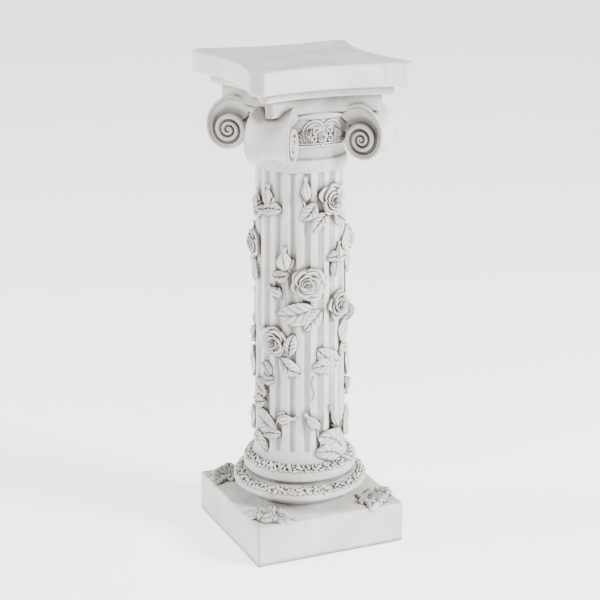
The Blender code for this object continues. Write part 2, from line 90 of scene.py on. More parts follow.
def place_camera():
    """Right, up and back are turned about the vertical, then tipped, then rolled."""
    right = Vector((math.cos(VIEW_TURN), math.sin(VIEW_TURN), 0))
    level = Vector((math.sin(VIEW_TURN), -math.cos(VIEW_TURN), 0))
    back = level * math.cos(VIEW_RISE) + Vector((0, 0, math.sin(VIEW_RISE)))
    up = back.cross(right)
    rolled_right = right * math.cos(VIEW_ROLL) + up * math.sin(VIEW_ROLL)
    rolled_up = up * math.cos(VIEW_ROLL) - right * math.sin(VIEW_ROLL)
    data = bpy.data.cameras.new("camera")
    data.lens, data.sensor_width = LENS_MM, SENSOR_MM
    camera = add_object("camera", data)
    turn = Matrix((rolled_right, rolled_up, back)).transposed().to_4x4()
    camera.matrix_world = Matrix.Translation(CAMERA_PLACE) @ turn
    bpy.context.scene.camera = camera


place_camera()

# %% [markdown]
# ## From numbers to meshes
#
# Every piece here is a surface worked out with numpy: rows and columns of points, joined
# by quads. A closed body comes from a ring-shaped grid whose ends are drawn together to a
# point, or from an upper and a lower sheet sewn along their rims. Many such bodies go into
# one mesh. A number kept at each point, called wash_and_shade, says how far the white there
# is darkened to grey: partly the wash that a hollow has caught, partly painted shade where
# shade falls, under ledges and in deep hollows.

# %% Grids, sheets and pieces
X_AXIS, Y_AXIS, Z_AXIS = np.eye(3)
# Points closer than the first are merged, and edges shorter than the second are taken out
MERGE_WITHIN, NO_EDGE = 0.000002, 0.0000005


def full_turn(count):
    """Angles at equal steps round a circle."""
    return np.linspace(0, math.tau, count, endpoint=False)


def outwards_at(turn):
    """The level direction away from the axis at this angle."""
    return np.array([math.cos(turn), math.sin(turn), 0.0])


def quad_faces(rows, cols, around=False):
    """Corner numbers of the quads between neighbours of a grid, also round its seam."""
    row = np.arange(rows - 1)[:, None]
    col = np.arange(cols if around else cols - 1)[None, :]
    after = (col + 1) % cols
    corners = (row * cols + col, row * cols + after, (row + 1) * cols + after, (row + 1) * cols + col)
    return np.stack(corners, axis=-1).reshape(-1, 4)


def ring_body(points, wash_and_shade=0.0):
    """A body turned or drawn from rings of points. Each end is drawn to its ring's middle."""
    first = np.repeat(points[:1].mean(axis=1, keepdims=True), points.shape[1], axis=1)
    last = np.repeat(points[-1:].mean(axis=1, keepdims=True), points.shape[1], axis=1)
    closed = np.concatenate([first, points, last])
    shade = np.broadcast_to(wash_and_shade, points.shape[:2])
    shade = np.concatenate([shade[:1], shade, shade[-1:]])
    return closed.reshape(-1, 3), quad_faces(*closed.shape[:2], around=True), shade.ravel()


def sheet_body(upper, lower, wash_and_shade):
    """An upper and a lower sheet of equally many points, sewn together along their rims."""
    rows, cols = upper.shape[:2]
    grid = np.arange(rows * cols).reshape(rows, cols)
    rim = np.concatenate([grid[0], grid[1:, -1], grid[-1, -2::-1], grid[-2:0:-1, 0]])
    shift = rows * cols
    after = np.roll(rim, -1)
    wall = np.stack([rim, after, after + shift, rim + shift], axis=-1)
    faces = np.concatenate([quad_faces(rows, cols), quad_faces(rows, cols)[:, ::-1] + shift, wall])
    shade = np.broadcast_to(wash_and_shade, upper.shape[:2]).ravel()
    return np.concatenate([upper.reshape(-1, 3), lower.reshape(-1, 3)]), faces, np.tile(shade, 2)


def make_piece(name, bodies, sharp):
    """One resin piece from many bodies. Points that coincide are merged, faces turned outwards.

    Edges bent by more than the angle sharp, in degrees, stay crisp.
    """
    count, points, faces, shades = 0, [], [], []
    for body_points, body_faces, body_shade in bodies:
        points.append(body_points)
        faces.append(body_faces + count)
        shades.append(body_shade)
        count += len(body_points)
    mesh = bpy.data.meshes.new(name)
    mesh.from_pydata(np.concatenate(points), [], np.concatenate(faces).tolist())
    wash_and_shade = mesh.attributes.new("wash_and_shade", "FLOAT", "POINT")
    wash_and_shade.data.foreach_set("value", np.concatenate(shades).astype(np.float32))
    shape = bmesh.new()
    shape.from_mesh(mesh)
    bmesh.ops.remove_doubles(shape, verts=shape.verts, dist=MERGE_WITHIN)
    bmesh.ops.dissolve_degenerate(shape, edges=shape.edges, dist=NO_EDGE)
    bmesh.ops.recalc_face_normals(shape, faces=shape.faces)
    shape.to_mesh(mesh)
    shape.free()
    mesh.shade_smooth()
    mesh.set_sharp_from_angle(angle=math.radians(sharp))
    mesh.materials.append(RESIN)
    piece = add_object(name, mesh)
    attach(piece, "root")
    mesh.calc_loop_triangles()
    print(f"{name}: {len(bodies)} bodies, {len(mesh.loop_triangles)} triangles")
    return piece


def smooth_step(value, low, high):
    """Runs from 0 at low to 1 at high, flat at both ends."""
    share = np.clip((value - low) / (high - low), 0.0, 1.0)
    return share * share * (3 - 2 * share)


# %% [markdown]
# ## The finish
#
# The casting is painted a warm antique white. A thin grey wash has been wiped over it: it
# stays in the hollows and is gone from the edges. Two things darken the white towards the
# wash's grey: the wash_and_shade value of each piece, and an Ambient Occlusion node, which
# sees how closed in a point is by its neighbours. Both stand partly for the real wash and
# partly for painted shade, the shade that falls in hollows, creases and under ledges. Noise
# breaks up the white into faint clouds and streaks, the rarest cells of a Voronoi pattern
# hold a dark speck each, and a fine bump gives the dry, chalky paint.

# %% Antique white resin
WHITE = (0.650, 0.640, 0.605, 1.0)
WARM_WHITE = (0.540, 0.526, 0.482, 1.0)
# The grey of the wash, which also paints the shade in hollows and under ledges
WASH_AND_SHADE_GREY = (0.080, 0.072, 0.053, 1.0)
OCCLUSION_REACH = 0.012
PAINT_ROUGHNESS, PAINT_SHINE, FULL_WASH_AND_SHADE = 0.58, 0.32, 0.94


def fill(socket, value):
    """Links another node's output to the socket, or sets a plain value."""
    if isinstance(value, bpy.types.NodeSocket):
        socket.id_data.links.new(value, socket)
    else:
        socket.default_value = value


def feed(node, **inputs):
    """Fills a node's inputs by their names, with an underscore for each space."""
    for name, value in inputs.items():
        fill(node.inputs[name.replace("_", " ")], value)


def resin_finish():
    """White to warm white by clouds, then to the wash's grey by hollows: partly real wash, partly painted
    shade.
    """
    material = bpy.data.materials.new("antique_white_resin")
    material.use_nodes = True
    shader = material.node_tree.nodes["Principled BSDF"]
    feed(shader, Roughness=PAINT_ROUGHNESS, Specular_IOR_Level=PAINT_SHINE)

    def node(kind, settings, **inputs):
        made = material.node_tree.nodes.new("ShaderNode" + kind)
        for name, value in settings.items():
            setattr(made, name, value)
        feed(made, **inputs)
        return made.outputs

    place = node("TexCoord", {})["Object"]

    def noise(scale, detail, stretch=(1, 1, 1)):
        where = node("Mapping", {}, Vector=place, Scale=stretch)["Vector"]
        return node("TexNoise", {}, Vector=where, Scale=scale, Detail=detail)["Fac"]

    def ranged(value, low, high, out_low=0.0, out_high=1.0):
        return node("MapRange", {"interpolation_type": "SMOOTHSTEP"}, Value=value, From_Min=low,
                    From_Max=high, To_Min=out_low, To_Max=out_high)["Result"]

    def maths(kind, first, second):
        made = material.node_tree.nodes.new("ShaderNodeMath")
        made.operation = kind
        for socket, value in zip(made.inputs, (first, second)):
            fill(socket, value)
        return made.outputs["Value"]

    def blend(share, first, second):
        return node("Mix", {"data_type": "RGBA"}, Factor=share, A=first, B=second)["Result"]

    clouds = ranged(noise(14.0, 5.0), 0.36, 0.66)
    streaks = ranged(noise(75.0, 4.0, (1, 1, 0.08)), 0.42, 0.70, 0.0, 0.85)
    paint = blend(maths("MAXIMUM", clouds, streaks), WHITE, WARM_WHITE)
    # Painted shade: the occlusion darkens the colour where a point is closed in, partly for the wash caught
    # there and partly for the shade that falls there
    occlusion = node("AmbientOcclusion", {"samples": 12}, Distance=OCCLUSION_REACH)["AO"]
    closed_in = ranged(occlusion, 0.42, 0.96, 1.0, 0.0)
    wash_and_shade = node("Attribute", {"attribute_name": "wash_and_shade"})["Fac"]
    patchy = ranged(noise(45.0, 4.0), 0.25, 0.62, 0.74, 1.0)
    wash_and_shade_share = maths("MULTIPLY", maths("MAXIMUM", closed_in, wash_and_shade), patchy)
    cells = node("TexVoronoi", {}, Vector=place, Scale=95.0)
    rare = node("SeparateColor", {}, Color=cells["Color"])["Red"]
    specks = maths("MULTIPLY", ranged(cells["Distance"], 0.06, 0.11, 1.0, 0.0), ranged(rare, 0.955, 0.965))
    share = maths("MULTIPLY", maths("MAXIMUM", wash_and_shade_share, specks), FULL_WASH_AND_SHADE)
    grain = node("Bump", {}, Strength=0.10, Distance=0.0006, Height=noise(420.0, 4.0))["Normal"]
    feed(shader, Base_Color=blend(share, paint, WASH_AND_SHADE_GREY), Normal=grain)
    return material


RESIN = resin_finish()

# %% [markdown]
# ## Sizes shared by the pieces
#
# The levels are heights over the floor, and the radii are those of the solid.

# %% Levels and radii of the column
PLINTH_WIDTH, PLINTH_TOP = 0.2466, 0.0650
FOOT_RADIUS, FOOT_TOP = 0.0932, 0.0836
LOWER_RADIUS, LOWER_TOP = 0.1038, 0.0950
SCOTIA_RADIUS, SCOTIA_LEVEL, SCOTIA_TOP = 0.0865, 0.1020, 0.1087
UPPER_RADIUS, UPPER_TOP = 0.0877, 0.1250
SHAFT_FOOT, SHAFT_TOP = 0.1340, 0.5946
SHAFT_LOW_RADIUS, SHAFT_TOP_RADIUS = 0.0717, 0.0685
FLARE_WIDTH, FLARE_HEIGHT = 0.0045, 0.0130
COLLAR_RADIUS, COLLAR_TOP = 0.0701, 0.6150
NECK_RADIUS, NECK_TOP = 0.0670, 0.6340
ECHINUS_LOW, ECHINUS_HIGH, ECHINUS_TOP = 0.0700, 0.0750, 0.6760
ROLL_RADIUS, BLOCK_LEVEL = 0.0790, 0.6860
FILLET_LEVEL, SLAB_LEVEL = 0.7110, 0.7250


def shaft_radius(level):
    """A straight taper, with a flare that opens as a square law at the foot."""
    share = (level - SHAFT_FOOT) / (SHAFT_TOP - SHAFT_FOOT)
    flare = np.clip(1 - (level - SHAFT_FOOT) / FLARE_HEIGHT, 0, 1)
    return SHAFT_LOW_RADIUS + (SHAFT_TOP_RADIUS - SHAFT_LOW_RADIUS) * share + FLARE_WIDTH * flare ** 2


def polar(radius, turn, level):
    """Points at this distance and turn round the axis, at this level."""
    radius, turn, level = np.broadcast_arrays(radius, turn, level)
    return np.stack([radius * np.cos(turn), radius * np.sin(turn), level], axis=-1)


# %% [markdown]
# ## The plinth
#
# The plinth is a square block whose top rises in a soft skirt to the round foot. A cube with
# a bevel gives the block but not the skirt. Here the outline itself changes on the way in:
# it is a rounded square at the rim and becomes a circle at the foot.

# %% Plinth block and skirt
EDGE_ROUND = 0.0026
OUTLINE_COUNT = 320


def on_four_sides(quarter):
    """A quarter of an outline, carried round to all four sides."""
    turns = [np.array([[math.cos(a), -math.sin(a)], [math.sin(a), math.cos(a)]])
             for a in (0, math.pi / 2, math.pi, 3 * math.pi / 2)]
    return np.concatenate([quarter @ turn.T for turn in turns])


def rounded_square(half, corner, count):
    """Evenly spaced points along a square outline whose corners are quarter circles."""
    per_side = count // 4
    straight = 2 * (half - corner)
    arc = math.pi / 2 * corner
    arc_share = max(6, int(per_side * arc / (straight + arc)))
    side = np.linspace(-1, 1, per_side - arc_share, endpoint=False)
    bend = np.linspace(0, math.pi / 2, arc_share, endpoint=False)
    side_points = np.stack([np.full_like(side, half), side * (half - corner)], axis=-1)
    bend_points = half - corner + corner * np.stack([np.cos(bend), np.sin(bend)], axis=-1)
    return on_four_sides(np.concatenate([side_points, bend_points]))


def skirt_rise(reach):
    """How far the plinth's top has climbed at this distance from the axis."""
    return 0.0070 * np.clip(1 - (reach - FOOT_RADIUS) / 0.014, 0, 1.2) ** 2.2


def plinth_body():
    """Rings from the underside, up the wall, over the edge and in to the foot."""
    half = PLINTH_WIDTH / 2
    outline = rounded_square(half, 0.0022, OUTLINE_COUNT)
    turn = np.arctan2(outline[:, 1], outline[:, 0])
    circle = np.stack([np.cos(turn), np.sin(turn)], axis=-1)
    rings = []
    bend = np.linspace(0, math.pi / 2, 5)
    walls = [(1 - 0.0012 * (1 - math.sin(a)) / half, 0.0012 * (1 - math.cos(a))) for a in bend]
    walls += [(1.0, level) for level in np.linspace(0.004, PLINTH_TOP - EDGE_ROUND, 12)]
    walls += [(1 - EDGE_ROUND * (1 - math.cos(a)) / half, PLINTH_TOP - EDGE_ROUND * (1 - math.sin(a)))
              for a in bend[1:]]
    for size, level in walls:
        rings.append(np.column_stack([outline * size, np.full(len(outline), level)]))
    rim = outline * (1 - EDGE_ROUND / half)
    for share in np.linspace(0.04, 1.0, 26):
        flat = rim * (1 - share) + circle * (FOOT_RADIUS - 0.002) * share
        rings.append(np.column_stack([flat, PLINTH_TOP + skirt_rise(np.linalg.norm(flat, axis=1))]))
    points = np.stack(rings)
    sway = 0.00035 * np.sin(points[..., 2] * 70 + points[..., 0] * 31) * np.sin(points[..., 1] * 27)
    points[4:-26, :, :2] *= (1 + sway[4:-26] / half)[..., None]
    flat = np.abs(points[..., :2])
    # The corner value draws a darker seam down each vertical edge. The ring round the foot is painted shade,
    # the shadow of the mouldings on the skirt.
    corner = smooth_step(flat.min(axis=-1) / flat.max(axis=-1), 0.972, 0.988)
    foot_ring = smooth_step(-np.linalg.norm(points[..., :2], axis=-1), -FOOT_RADIUS - 0.022, -FOOT_RADIUS)
    wash_and_shade = 0.34 * corner * (points[..., 2] < PLINTH_TOP - EDGE_ROUND) + 0.62 * foot_ring
    return ring_body(points, wash_and_shade)


make_piece("plinth_block", [plinth_body()], sharp=50)

# %% [markdown]
# ## The turned parts
#
# The foot mouldings and the neck are turned shapes: one profile carried round the axis.
# A Screw modifier would do the same. With numpy the profile may be softened by a formula
# and the points stay at hand for the wreaths that sit on it.

# %% Foot, neck and echinus
AROUND = 240
BAND_POINTS = 9


def between(level, low, high):
    """1 between two levels and 0 outside them, with a short soft step at both."""
    after_low = smooth_step(level, low - 0.0006, low + 0.0006)
    return after_low * (1 - smooth_step(level, high - 0.0006, high + 0.0006))


def turned_body(profile, wash_and_shade_bands):
    """The profile's (radius, level) points carried round the axis, with wash and painted shade between
    levels.
    """
    profile = np.array(profile)
    turn = full_turn(AROUND)
    level = profile[:, 1:]
    wash_and_shade = sum((share * between(level, low, high) for low, high, share in wash_and_shade_bands), np.zeros_like(level))
    return ring_body(polar(profile[:, :1], turn[None, :], level), wash_and_shade + 0 * turn[None, :])


def convex(radius, low, high, bulge, count=BAND_POINTS):
    """A band from low to high that swells by a sine and is rounded in at its two ends."""
    share = np.linspace(0, 1, count)
    ends = 0.0016 * (np.abs(2 * share - 1) ** 6)
    return [(radius + bulge * math.sin(math.pi * s) - e, low + (high - low) * s)
            for s, e in zip(share, ends)]


def hollow(low_point, high_point, depth):
    """A hollow between two points, scooped inwards by a sine."""
    (low_radius, low), (high_radius, high) = low_point, high_point
    return [(low_radius + (high_radius - low_radius) * s - depth * math.sin(math.pi * s),
             low + (high - low) * s) for s in np.linspace(0, 1, BAND_POINTS)]


foot_profile = (
    hollow((FOOT_RADIUS + 0.0030, PLINTH_TOP + 0.001), (FOOT_RADIUS, FOOT_TOP - 0.004), 0.0035)
    + [(FOOT_RADIUS + 0.0035, FOOT_TOP - 0.0032), (FOOT_RADIUS + 0.0035, FOOT_TOP - 0.0006)]
    + convex(LOWER_RADIUS, FOOT_TOP, LOWER_TOP, 0.0015)
    + hollow((LOWER_RADIUS - 0.0020, LOWER_TOP + 0.0004), (SCOTIA_RADIUS + 0.0030, SCOTIA_LEVEL), 0.0010)
    + hollow((SCOTIA_RADIUS + 0.0015, SCOTIA_LEVEL + 0.0010), (UPPER_RADIUS - 0.003, SCOTIA_TOP), 0.0035)
    + convex(UPPER_RADIUS, SCOTIA_TOP, UPPER_TOP, 0.0016)
    + hollow((UPPER_RADIUS - 0.0020, UPPER_TOP + 0.0004),
             (SHAFT_LOW_RADIUS + FLARE_WIDTH, SHAFT_FOOT - 0.001), 0.0008)
    + [(0.060, SHAFT_FOOT)])
# Bands of wash and painted shade between levels: the hollows hold the grey wash and are darkened further as
# painted shade, most of all the ring of shadow in the hollow under the lower band
foot_wash_and_shade = (
    (PLINTH_TOP + 0.004, FOOT_TOP - 0.004, 0.45),
    (FOOT_TOP, LOWER_TOP, 0.16),
    (LOWER_TOP + 0.0012, SCOTIA_LEVEL, 0.85),
    (SCOTIA_LEVEL + 0.0012, SCOTIA_TOP, 0.50),
    (SCOTIA_TOP, UPPER_TOP, 0.26),
    (UPPER_TOP + 0.0012, SHAFT_FOOT, 0.85),
)
neck_profile = (
    [(0.060, SHAFT_TOP - 0.001)]
    + convex(COLLAR_RADIUS, SHAFT_TOP, COLLAR_TOP, 0.0008, 11)
    + hollow((NECK_RADIUS + 0.0005, COLLAR_TOP + 0.0004), (NECK_RADIUS + 0.001, NECK_TOP - 0.001), 0.0012)
    + convex(ECHINUS_LOW + 0.001, NECK_TOP, NECK_TOP + 0.005, 0.0008, 6)
    + [(ECHINUS_LOW + (ECHINUS_HIGH - ECHINUS_LOW) * math.sin(math.pi / 2 * s),
        NECK_TOP + 0.0052 + (ECHINUS_TOP - NECK_TOP - 0.0056) * s) for s in np.linspace(0, 1, 10)]
    + convex(ROLL_RADIUS - 0.0025, ECHINUS_TOP, BLOCK_LEVEL - 0.0005, 0.0035, 10)
    + [(ROLL_RADIUS - 0.0075, BLOCK_LEVEL + 0.001)])
# Bands of painted shade where the slab and the scrolls overhang the collar, neck and echinus, with the grey
# wash in the grooves
neck_wash_and_shade = (
    (SHAFT_TOP, COLLAR_TOP - 0.0004, 0.24),
    (COLLAR_TOP - 0.0004, COLLAR_TOP + 0.0030, 0.80),
    (COLLAR_TOP + 0.0030, NECK_TOP - 0.0016, 0.44),
    (NECK_TOP - 0.0016, NECK_TOP + 0.0002, 0.60),
    (NECK_TOP + 0.0056, ECHINUS_TOP - 0.0010, 0.50),
    (ECHINUS_TOP, BLOCK_LEVEL, 0.32),
)
make_piece("moulded_foot", [turned_body(foot_profile, foot_wash_and_shade)], sharp=42)
make_piece("collar_and_neck", [turned_body(neck_profile, neck_wash_and_shade)], sharp=42)

# %% [markdown]
# ## The fluted shaft
#
# Twenty shallow flutes run up the shaft, with flat fillets between them. They could be cut
# with Booleans. A formula is cleaner: every point of the wall knows how far it is from the
# spine of its flute, and the wall sinks by a circle's arc of that distance. At the foot the
# spine stops, so that the same rule rounds the flute's end.

# %% Fluted shaft
FLUTES = 20
# The drum sits a little turned against the square plinth and slab
DRUM_TURN = math.radians(2.0)
FLUTE_HALF = 0.0064
FLUTE_DEPTH = 0.0036
FLUTE_END = 0.1500


def flute_depth(right, level):
    """Arc of a circle over the distance from the spine, softened where it meets the fillet."""
    below = np.clip(FLUTE_END + FLUTE_HALF - level, 0, None)
    distance = np.sqrt(right ** 2 + below ** 2)
    bow = (FLUTE_HALF ** 2 + FLUTE_DEPTH ** 2) / (2 * FLUTE_DEPTH)
    arc = np.sqrt(np.clip(bow ** 2 - distance ** 2, 0, None)) - (bow - FLUTE_DEPTH)
    return np.clip(arc, 0, None) * smooth_step(-distance, -FLUTE_HALF * 1.02, -FLUTE_HALF * 0.90)


def shaft_body():
    pitch = math.tau / FLUTES
    edge = FLUTE_HALF / SHAFT_TOP_RADIUS
    local = np.concatenate([np.linspace(-pitch / 2, -edge, 4)[:-1], np.linspace(-edge, edge, 15),
                            np.linspace(edge, pitch / 2, 4)[1:-1]])
    turn = (np.arange(FLUTES)[:, None] * pitch + local[None, :]).ravel() + DRUM_TURN
    right = np.tile(local, FLUTES) * SHAFT_TOP_RADIUS
    level = np.concatenate([np.linspace(SHAFT_FOOT - 0.001, 0.147, 12), np.linspace(0.148, 0.162, 18),
                            np.linspace(0.166, SHAFT_TOP + 0.001, 38)])
    sunk = flute_depth(right[None, :], level[:, None])
    uneven = 0.00022 * np.sin(level * 61)[:, None] * np.sin(3 * turn + 1.3)[None, :]
    uneven = uneven + 0.00018 * np.sin(level * 143 + 0.7)[:, None] * np.sin(5 * turn)[None, :]
    reach = shaft_radius(level)[:, None] - sunk + uneven
    # The wash lies in the flutes. The line of it a little off each flute's middle is painted shade, standing
    # for the flute's shaded wall.
    shaded_wall_line = np.exp(-((right + 0.0012) / 0.0014) ** 2)[None, :]
    wash_and_shade = smooth_step(sunk, 0.0006, FLUTE_DEPTH) * (0.40 + 0.34 * shaded_wall_line)
    wash_and_shade = wash_and_shade + 0.30 * (1 - smooth_step(level, SHAFT_FOOT, SHAFT_FOOT + FLARE_HEIGHT))[:, None]
    return ring_body(polar(reach, turn[None, :], level[:, None]), wash_and_shade)


shaft = make_piece("fluted_shaft", [shaft_body()], sharp=38)
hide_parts("column_pedestal")

# %% [markdown]
# ## The square tiers
#
# Over the echinus lie a block, a thin fillet and the top slab. Each is a square with cut
# corners and hollowed sides. The outline is worked out once, and the edge profile moves it
# in and out along its own normals, as a router's bit would.

# %% Block, fillet and slab
SIDE_HOLLOW = 0.0200
SIDE_POINTS = 90


def tier_outline(width, cut):
    """Four sides, each a straight line hollowed by a parabola, joined by the cut corners."""
    half, reach = width / 2, width / 2 - cut
    along = np.linspace(-reach, reach, SIDE_POINTS)
    side = np.stack([along, SIDE_HOLLOW * (1 - (along / reach) ** 2) - half], axis=-1)
    facet = np.linspace(0, 1, max(4, int(SIDE_POINTS * cut * 0.8 / reach)))[1:-1, None]
    corner = side[-1] * (1 - facet) + np.array([half, -reach]) * facet
    return on_four_sides(np.concatenate([side, corner]))


def outline_normals(outline):
    """Outward normals, each from the chord between a point's neighbours."""
    chord = np.roll(outline, -1, axis=0) - np.roll(outline, 1, axis=0)
    normal = np.stack([chord[:, 1], -chord[:, 0]], axis=-1)
    return normal / np.linalg.norm(normal, axis=1, keepdims=True)


def tier_body(width, cut, low, high, edge, sway, shade, corner_shade):
    """Rings up the tier: in at the lower edge, straight, and in again over the upper edge.

    The painted shade deepens towards the top, under the next tier, and lies on the walls of the cut
    corners, which take less light; it thins out along each side towards its ends.
    """
    outline = tier_outline(width, cut)
    for _ in range(2):
        outline = (np.roll(outline, 1, axis=0) + 2 * outline + np.roll(outline, -1, axis=0)) / 4
    normal = outline_normals(outline)
    bend = np.linspace(0, math.pi / 2, 6)
    steps = [(edge * (1 - math.sin(a)), low + edge * (1 - math.cos(a))) for a in bend]
    steps += [(0.0, level) for level in np.linspace(low + edge, high - edge, 10)[1:-1]]
    steps += [(edge * (1 - math.cos(a)), high - edge * (1 - math.sin(a))) for a in bend]
    rings = [np.column_stack([outline * size, np.full(len(outline), low)]) for size in (0.3, 0.7)]
    rings += [np.column_stack([outline - normal * inset, np.full(len(outline), level)])
              for inset, level in steps]
    rings += [np.column_stack([(outline - normal * edge) * size, np.full(len(outline), high)])
              for size in (0.97, 0.9, 0.75, 0.5, 0.25)]
    points = np.stack(rings)
    wave = np.sin(points[..., 0] * 33 + points[..., 2] * 90) * np.sin(points[..., 1] * 29 + 0.8)
    points[..., :2] *= (1 + sway * (wave - 1) / (width / 2))[..., None]
    level = points[..., 2]
    flat = np.abs(points[..., :2])
    cut_share = 1 - 2 * cut / width
    aslant = flat.min(axis=-1) / flat.max(axis=-1)
    corner = smooth_step(aslant, cut_share - 0.012, cut_share + 0.008)
    wall = smooth_step(level, low, low + edge) * smooth_step(-level, -high, -high + edge)
    along = 1 - 0.7 * smooth_step(aslant, 0.45, 0.80)
    # Painted shade: darker up under the next tier and on the walls of the cut corners
    wash_and_shade = shade * along * (0.65 + 0.35 * smooth_step(level, low, high)) + corner_shade * corner * wall
    return ring_body(points, wash_and_shade)


# Each tier reaches a little up into the next. Name, width, corner cut, lower and upper level,
# edge, unevenness, painted shade of its sides and of its cut corners
TIER_LAP = 0.003
TIERS = (
    ("capital_block", 0.1880, 0.0080, BLOCK_LEVEL, FILLET_LEVEL + TIER_LAP, 0.0010, 0.0, 0.92, 0.30),
    ("capital_fillet", 0.2150, 0.0080, FILLET_LEVEL, SLAB_LEVEL + TIER_LAP, 0.0012, 0.0, 0.20, 0.26),
    ("top_slab", 0.2628, 0.0167, SLAB_LEVEL, TOP, 0.0045, 0.0004, 0.0, 0.24),
)
for name, *sizes in TIERS:
    make_piece(name, [tier_body(*sizes)], sharp=45)

# %% [markdown]
# ## The corner scrolls
#
# Each corner carries a thick scroll, like a pulley wheel that narrows towards the column.
# Its rim is hollowed across, and on both faces a ribbon winds in to an eye.
# A curve with a bevel could draw the ribbon, but it would leave a seam along every turn.
# Here the whole face is one strip: its length runs along the spiral and its width from one
# turn to the next, with the ribbon's round back and the deep groove beside it as a height.

# %% Corner scrolls
VOLUTE_REACH, VOLUTE_HALF = 0.1410, 0.0345
VOLUTE_TAPER = math.radians(7.0)
CREST_LEVEL = BLOCK_LEVEL + 0.0120
CREST_START, WHEEL_END, SPIRAL_END = -0.13, 0.87, 3.17
FACE_INSET = 0.0030
TURN_POINTS = 80
FACE_SHARES = np.linspace(0, 1, 27)
BAND_SHARES = np.linspace(-1, 1, 33)


def whorl(turns):
    """Distance from the eye: it shrinks by a steady share a turn, and flares into the crest."""
    even = 0.0390 * np.exp(-0.42 * turns) - 0.0020 * turns
    return even + 0.0140 * np.clip(1 - np.maximum(turns, 0) / 0.25, 0, 1) ** 1.5


WHEEL_OUT = float(whorl(0.25))
EYE_REACH = VOLUTE_REACH - WHEEL_OUT
EYE_LEVEL = CREST_LEVEL - float(whorl(0.0))


def inner_room(turns):
    """Distance from one turn of the spiral to the next, which stops short of the eye."""
    return whorl(turns) - np.maximum(whorl(turns + 1.0), 0.0004)


def ribbon_height(share, room):
    """Height over the face, and the wash there, at a share of the way to the next turn.

    In the crest the ribbon is broad: a lip, a fine line, and a slope that falls inwards.
    Further in it is narrow: a round back. Both end in a groove against the next turn.
    """
    inward = share * room
    broad = smooth_step(room, 0.0112, 0.0190)
    lip = 0.0022 * np.exp(-((inward - 0.0026) / 0.0019) ** 2)
    line = np.exp(-((inward - 0.0058) / 0.0008) ** 2) * smooth_step(room, 0.0115, 0.0135)
    slope = 0.0012 + lip - 0.0078 * smooth_step(share, 0.20, 0.84)
    back = 0.0004 + 0.0034 * np.sqrt(np.clip(1 - (share / 0.36 - 1) ** 2, 0, 1))
    groove = smooth_step(share, 0.60, 0.80)
    depth = np.clip(0.16 * room, 0.0010, 0.0021) + 0.0050 * broad
    height = (slope * broad + back * (1 - broad)) * (1 - groove) - depth * groove - 0.0010 * line
    wash_and_shade = np.maximum(0.26 * groove, 0.40 * line) + 0.34 + 0.14 * broad * smooth_step(share, 0.25, 0.7)
    return np.where((share <= 0) | (share >= 1), 0.0, height), np.minimum(wash_and_shade, 0.95)


def scroll_frame(outward, upward, across):
    """From a scroll's own outward, upward and across to the corner between +X and +Y."""
    reach = EYE_REACH + outward
    diagonal = math.sqrt(0.5)
    return np.stack([(reach - across) * diagonal, (reach + across) * diagonal, EYE_LEVEL + upward], axis=-1)


def wheel(radius, turns):
    """Outward and upward of a point on the spiral, from its eye."""
    return radius * np.sin(math.tau * turns), radius * np.cos(math.tau * turns)


def face_half(outward):
    """Half the scroll's width, which narrows towards the column."""
    return VOLUTE_HALF - (WHEEL_OUT - outward) * math.tan(VOLUTE_TAPER)


def strip_turns(end):
    """Turns along the strip in equal steps, so that each turn's points meet the next turn's."""
    return CREST_START + np.arange(int(round((end - CREST_START) * TURN_POINTS)) + 1) / TURN_POINTS


def saddle(share):
    """How far the rim is hollowed at this share of its half width."""
    return 0.0092 * (1 - np.abs(share) ** 2.1)


def scroll_face(hand):
    """One spiral face as a grid: turns along it, and shares of the room to the next turn."""
    turns = strip_turns(SPIRAL_END)[:, None]
    share = FACE_SHARES[None, :]
    room = inner_room(turns)
    height, wash_and_shade = ribbon_height(share, room)
    outward, upward = wheel(whorl(turns) - share * room, turns)
    across = hand * (face_half(outward) - FACE_INSET + height)
    return scroll_frame(outward, upward, across), wash_and_shade


def scroll_band():
    """The rim between the two faces: a saddle, deepest at its middle."""
    turns = strip_turns(WHEEL_END)[:, None]
    share = BAND_SHARES[None, :]
    outward, upward = wheel(whorl(turns) - saddle(share), turns)
    across = share * (face_half(wheel(whorl(turns), turns)[0]) - FACE_INSET)
    near_block = 0.46 * (1 - smooth_step(turns + 0.08 * share ** 2, 0.04, 0.22))
    streaks = 0.13 * np.abs(np.sin(11 * share + 1.1)) ** 6 * smooth_step(turns, 0.1, 0.3)
    return scroll_frame(outward, upward, across), near_block + streaks


def grid_part(points, wash_and_shade):
    return points.reshape(-1, 3), quad_faces(*points.shape[:2]), wash_and_shade.ravel()


def scroll_start():
    """The wall that closes the strip's first edge, inside the block."""
    turn = math.tau * CREST_START
    share = FACE_SHARES[None, :]
    side_share = BAND_SHARES[:, None]
    room = inner_room(CREST_START)
    height, _ = ribbon_height(share, room)
    edge = whorl(CREST_START) - share * room
    radius = edge - saddle(side_share)
    across = side_share * (face_half(edge * math.sin(turn)) - FACE_INSET + height)
    points = scroll_frame(*np.broadcast_arrays(radius * math.sin(turn), radius * math.cos(turn), across))
    return points, np.zeros(points.shape[:2])


def eye_body(hand):
    """A small dome over the middle of the spiral."""
    turn = full_turn(24)[None, :]
    rise = np.linspace(0.0, math.pi / 2, 9)[:, None]
    radius = 0.0046 * np.cos(rise)
    lift = -0.004 + 0.0072 * np.sin(rise)
    across = hand * (face_half(0.0) - FACE_INSET + lift)
    points = scroll_frame(*np.broadcast_arrays(radius * np.cos(turn), radius * np.sin(turn), across))
    return ring_body(points)


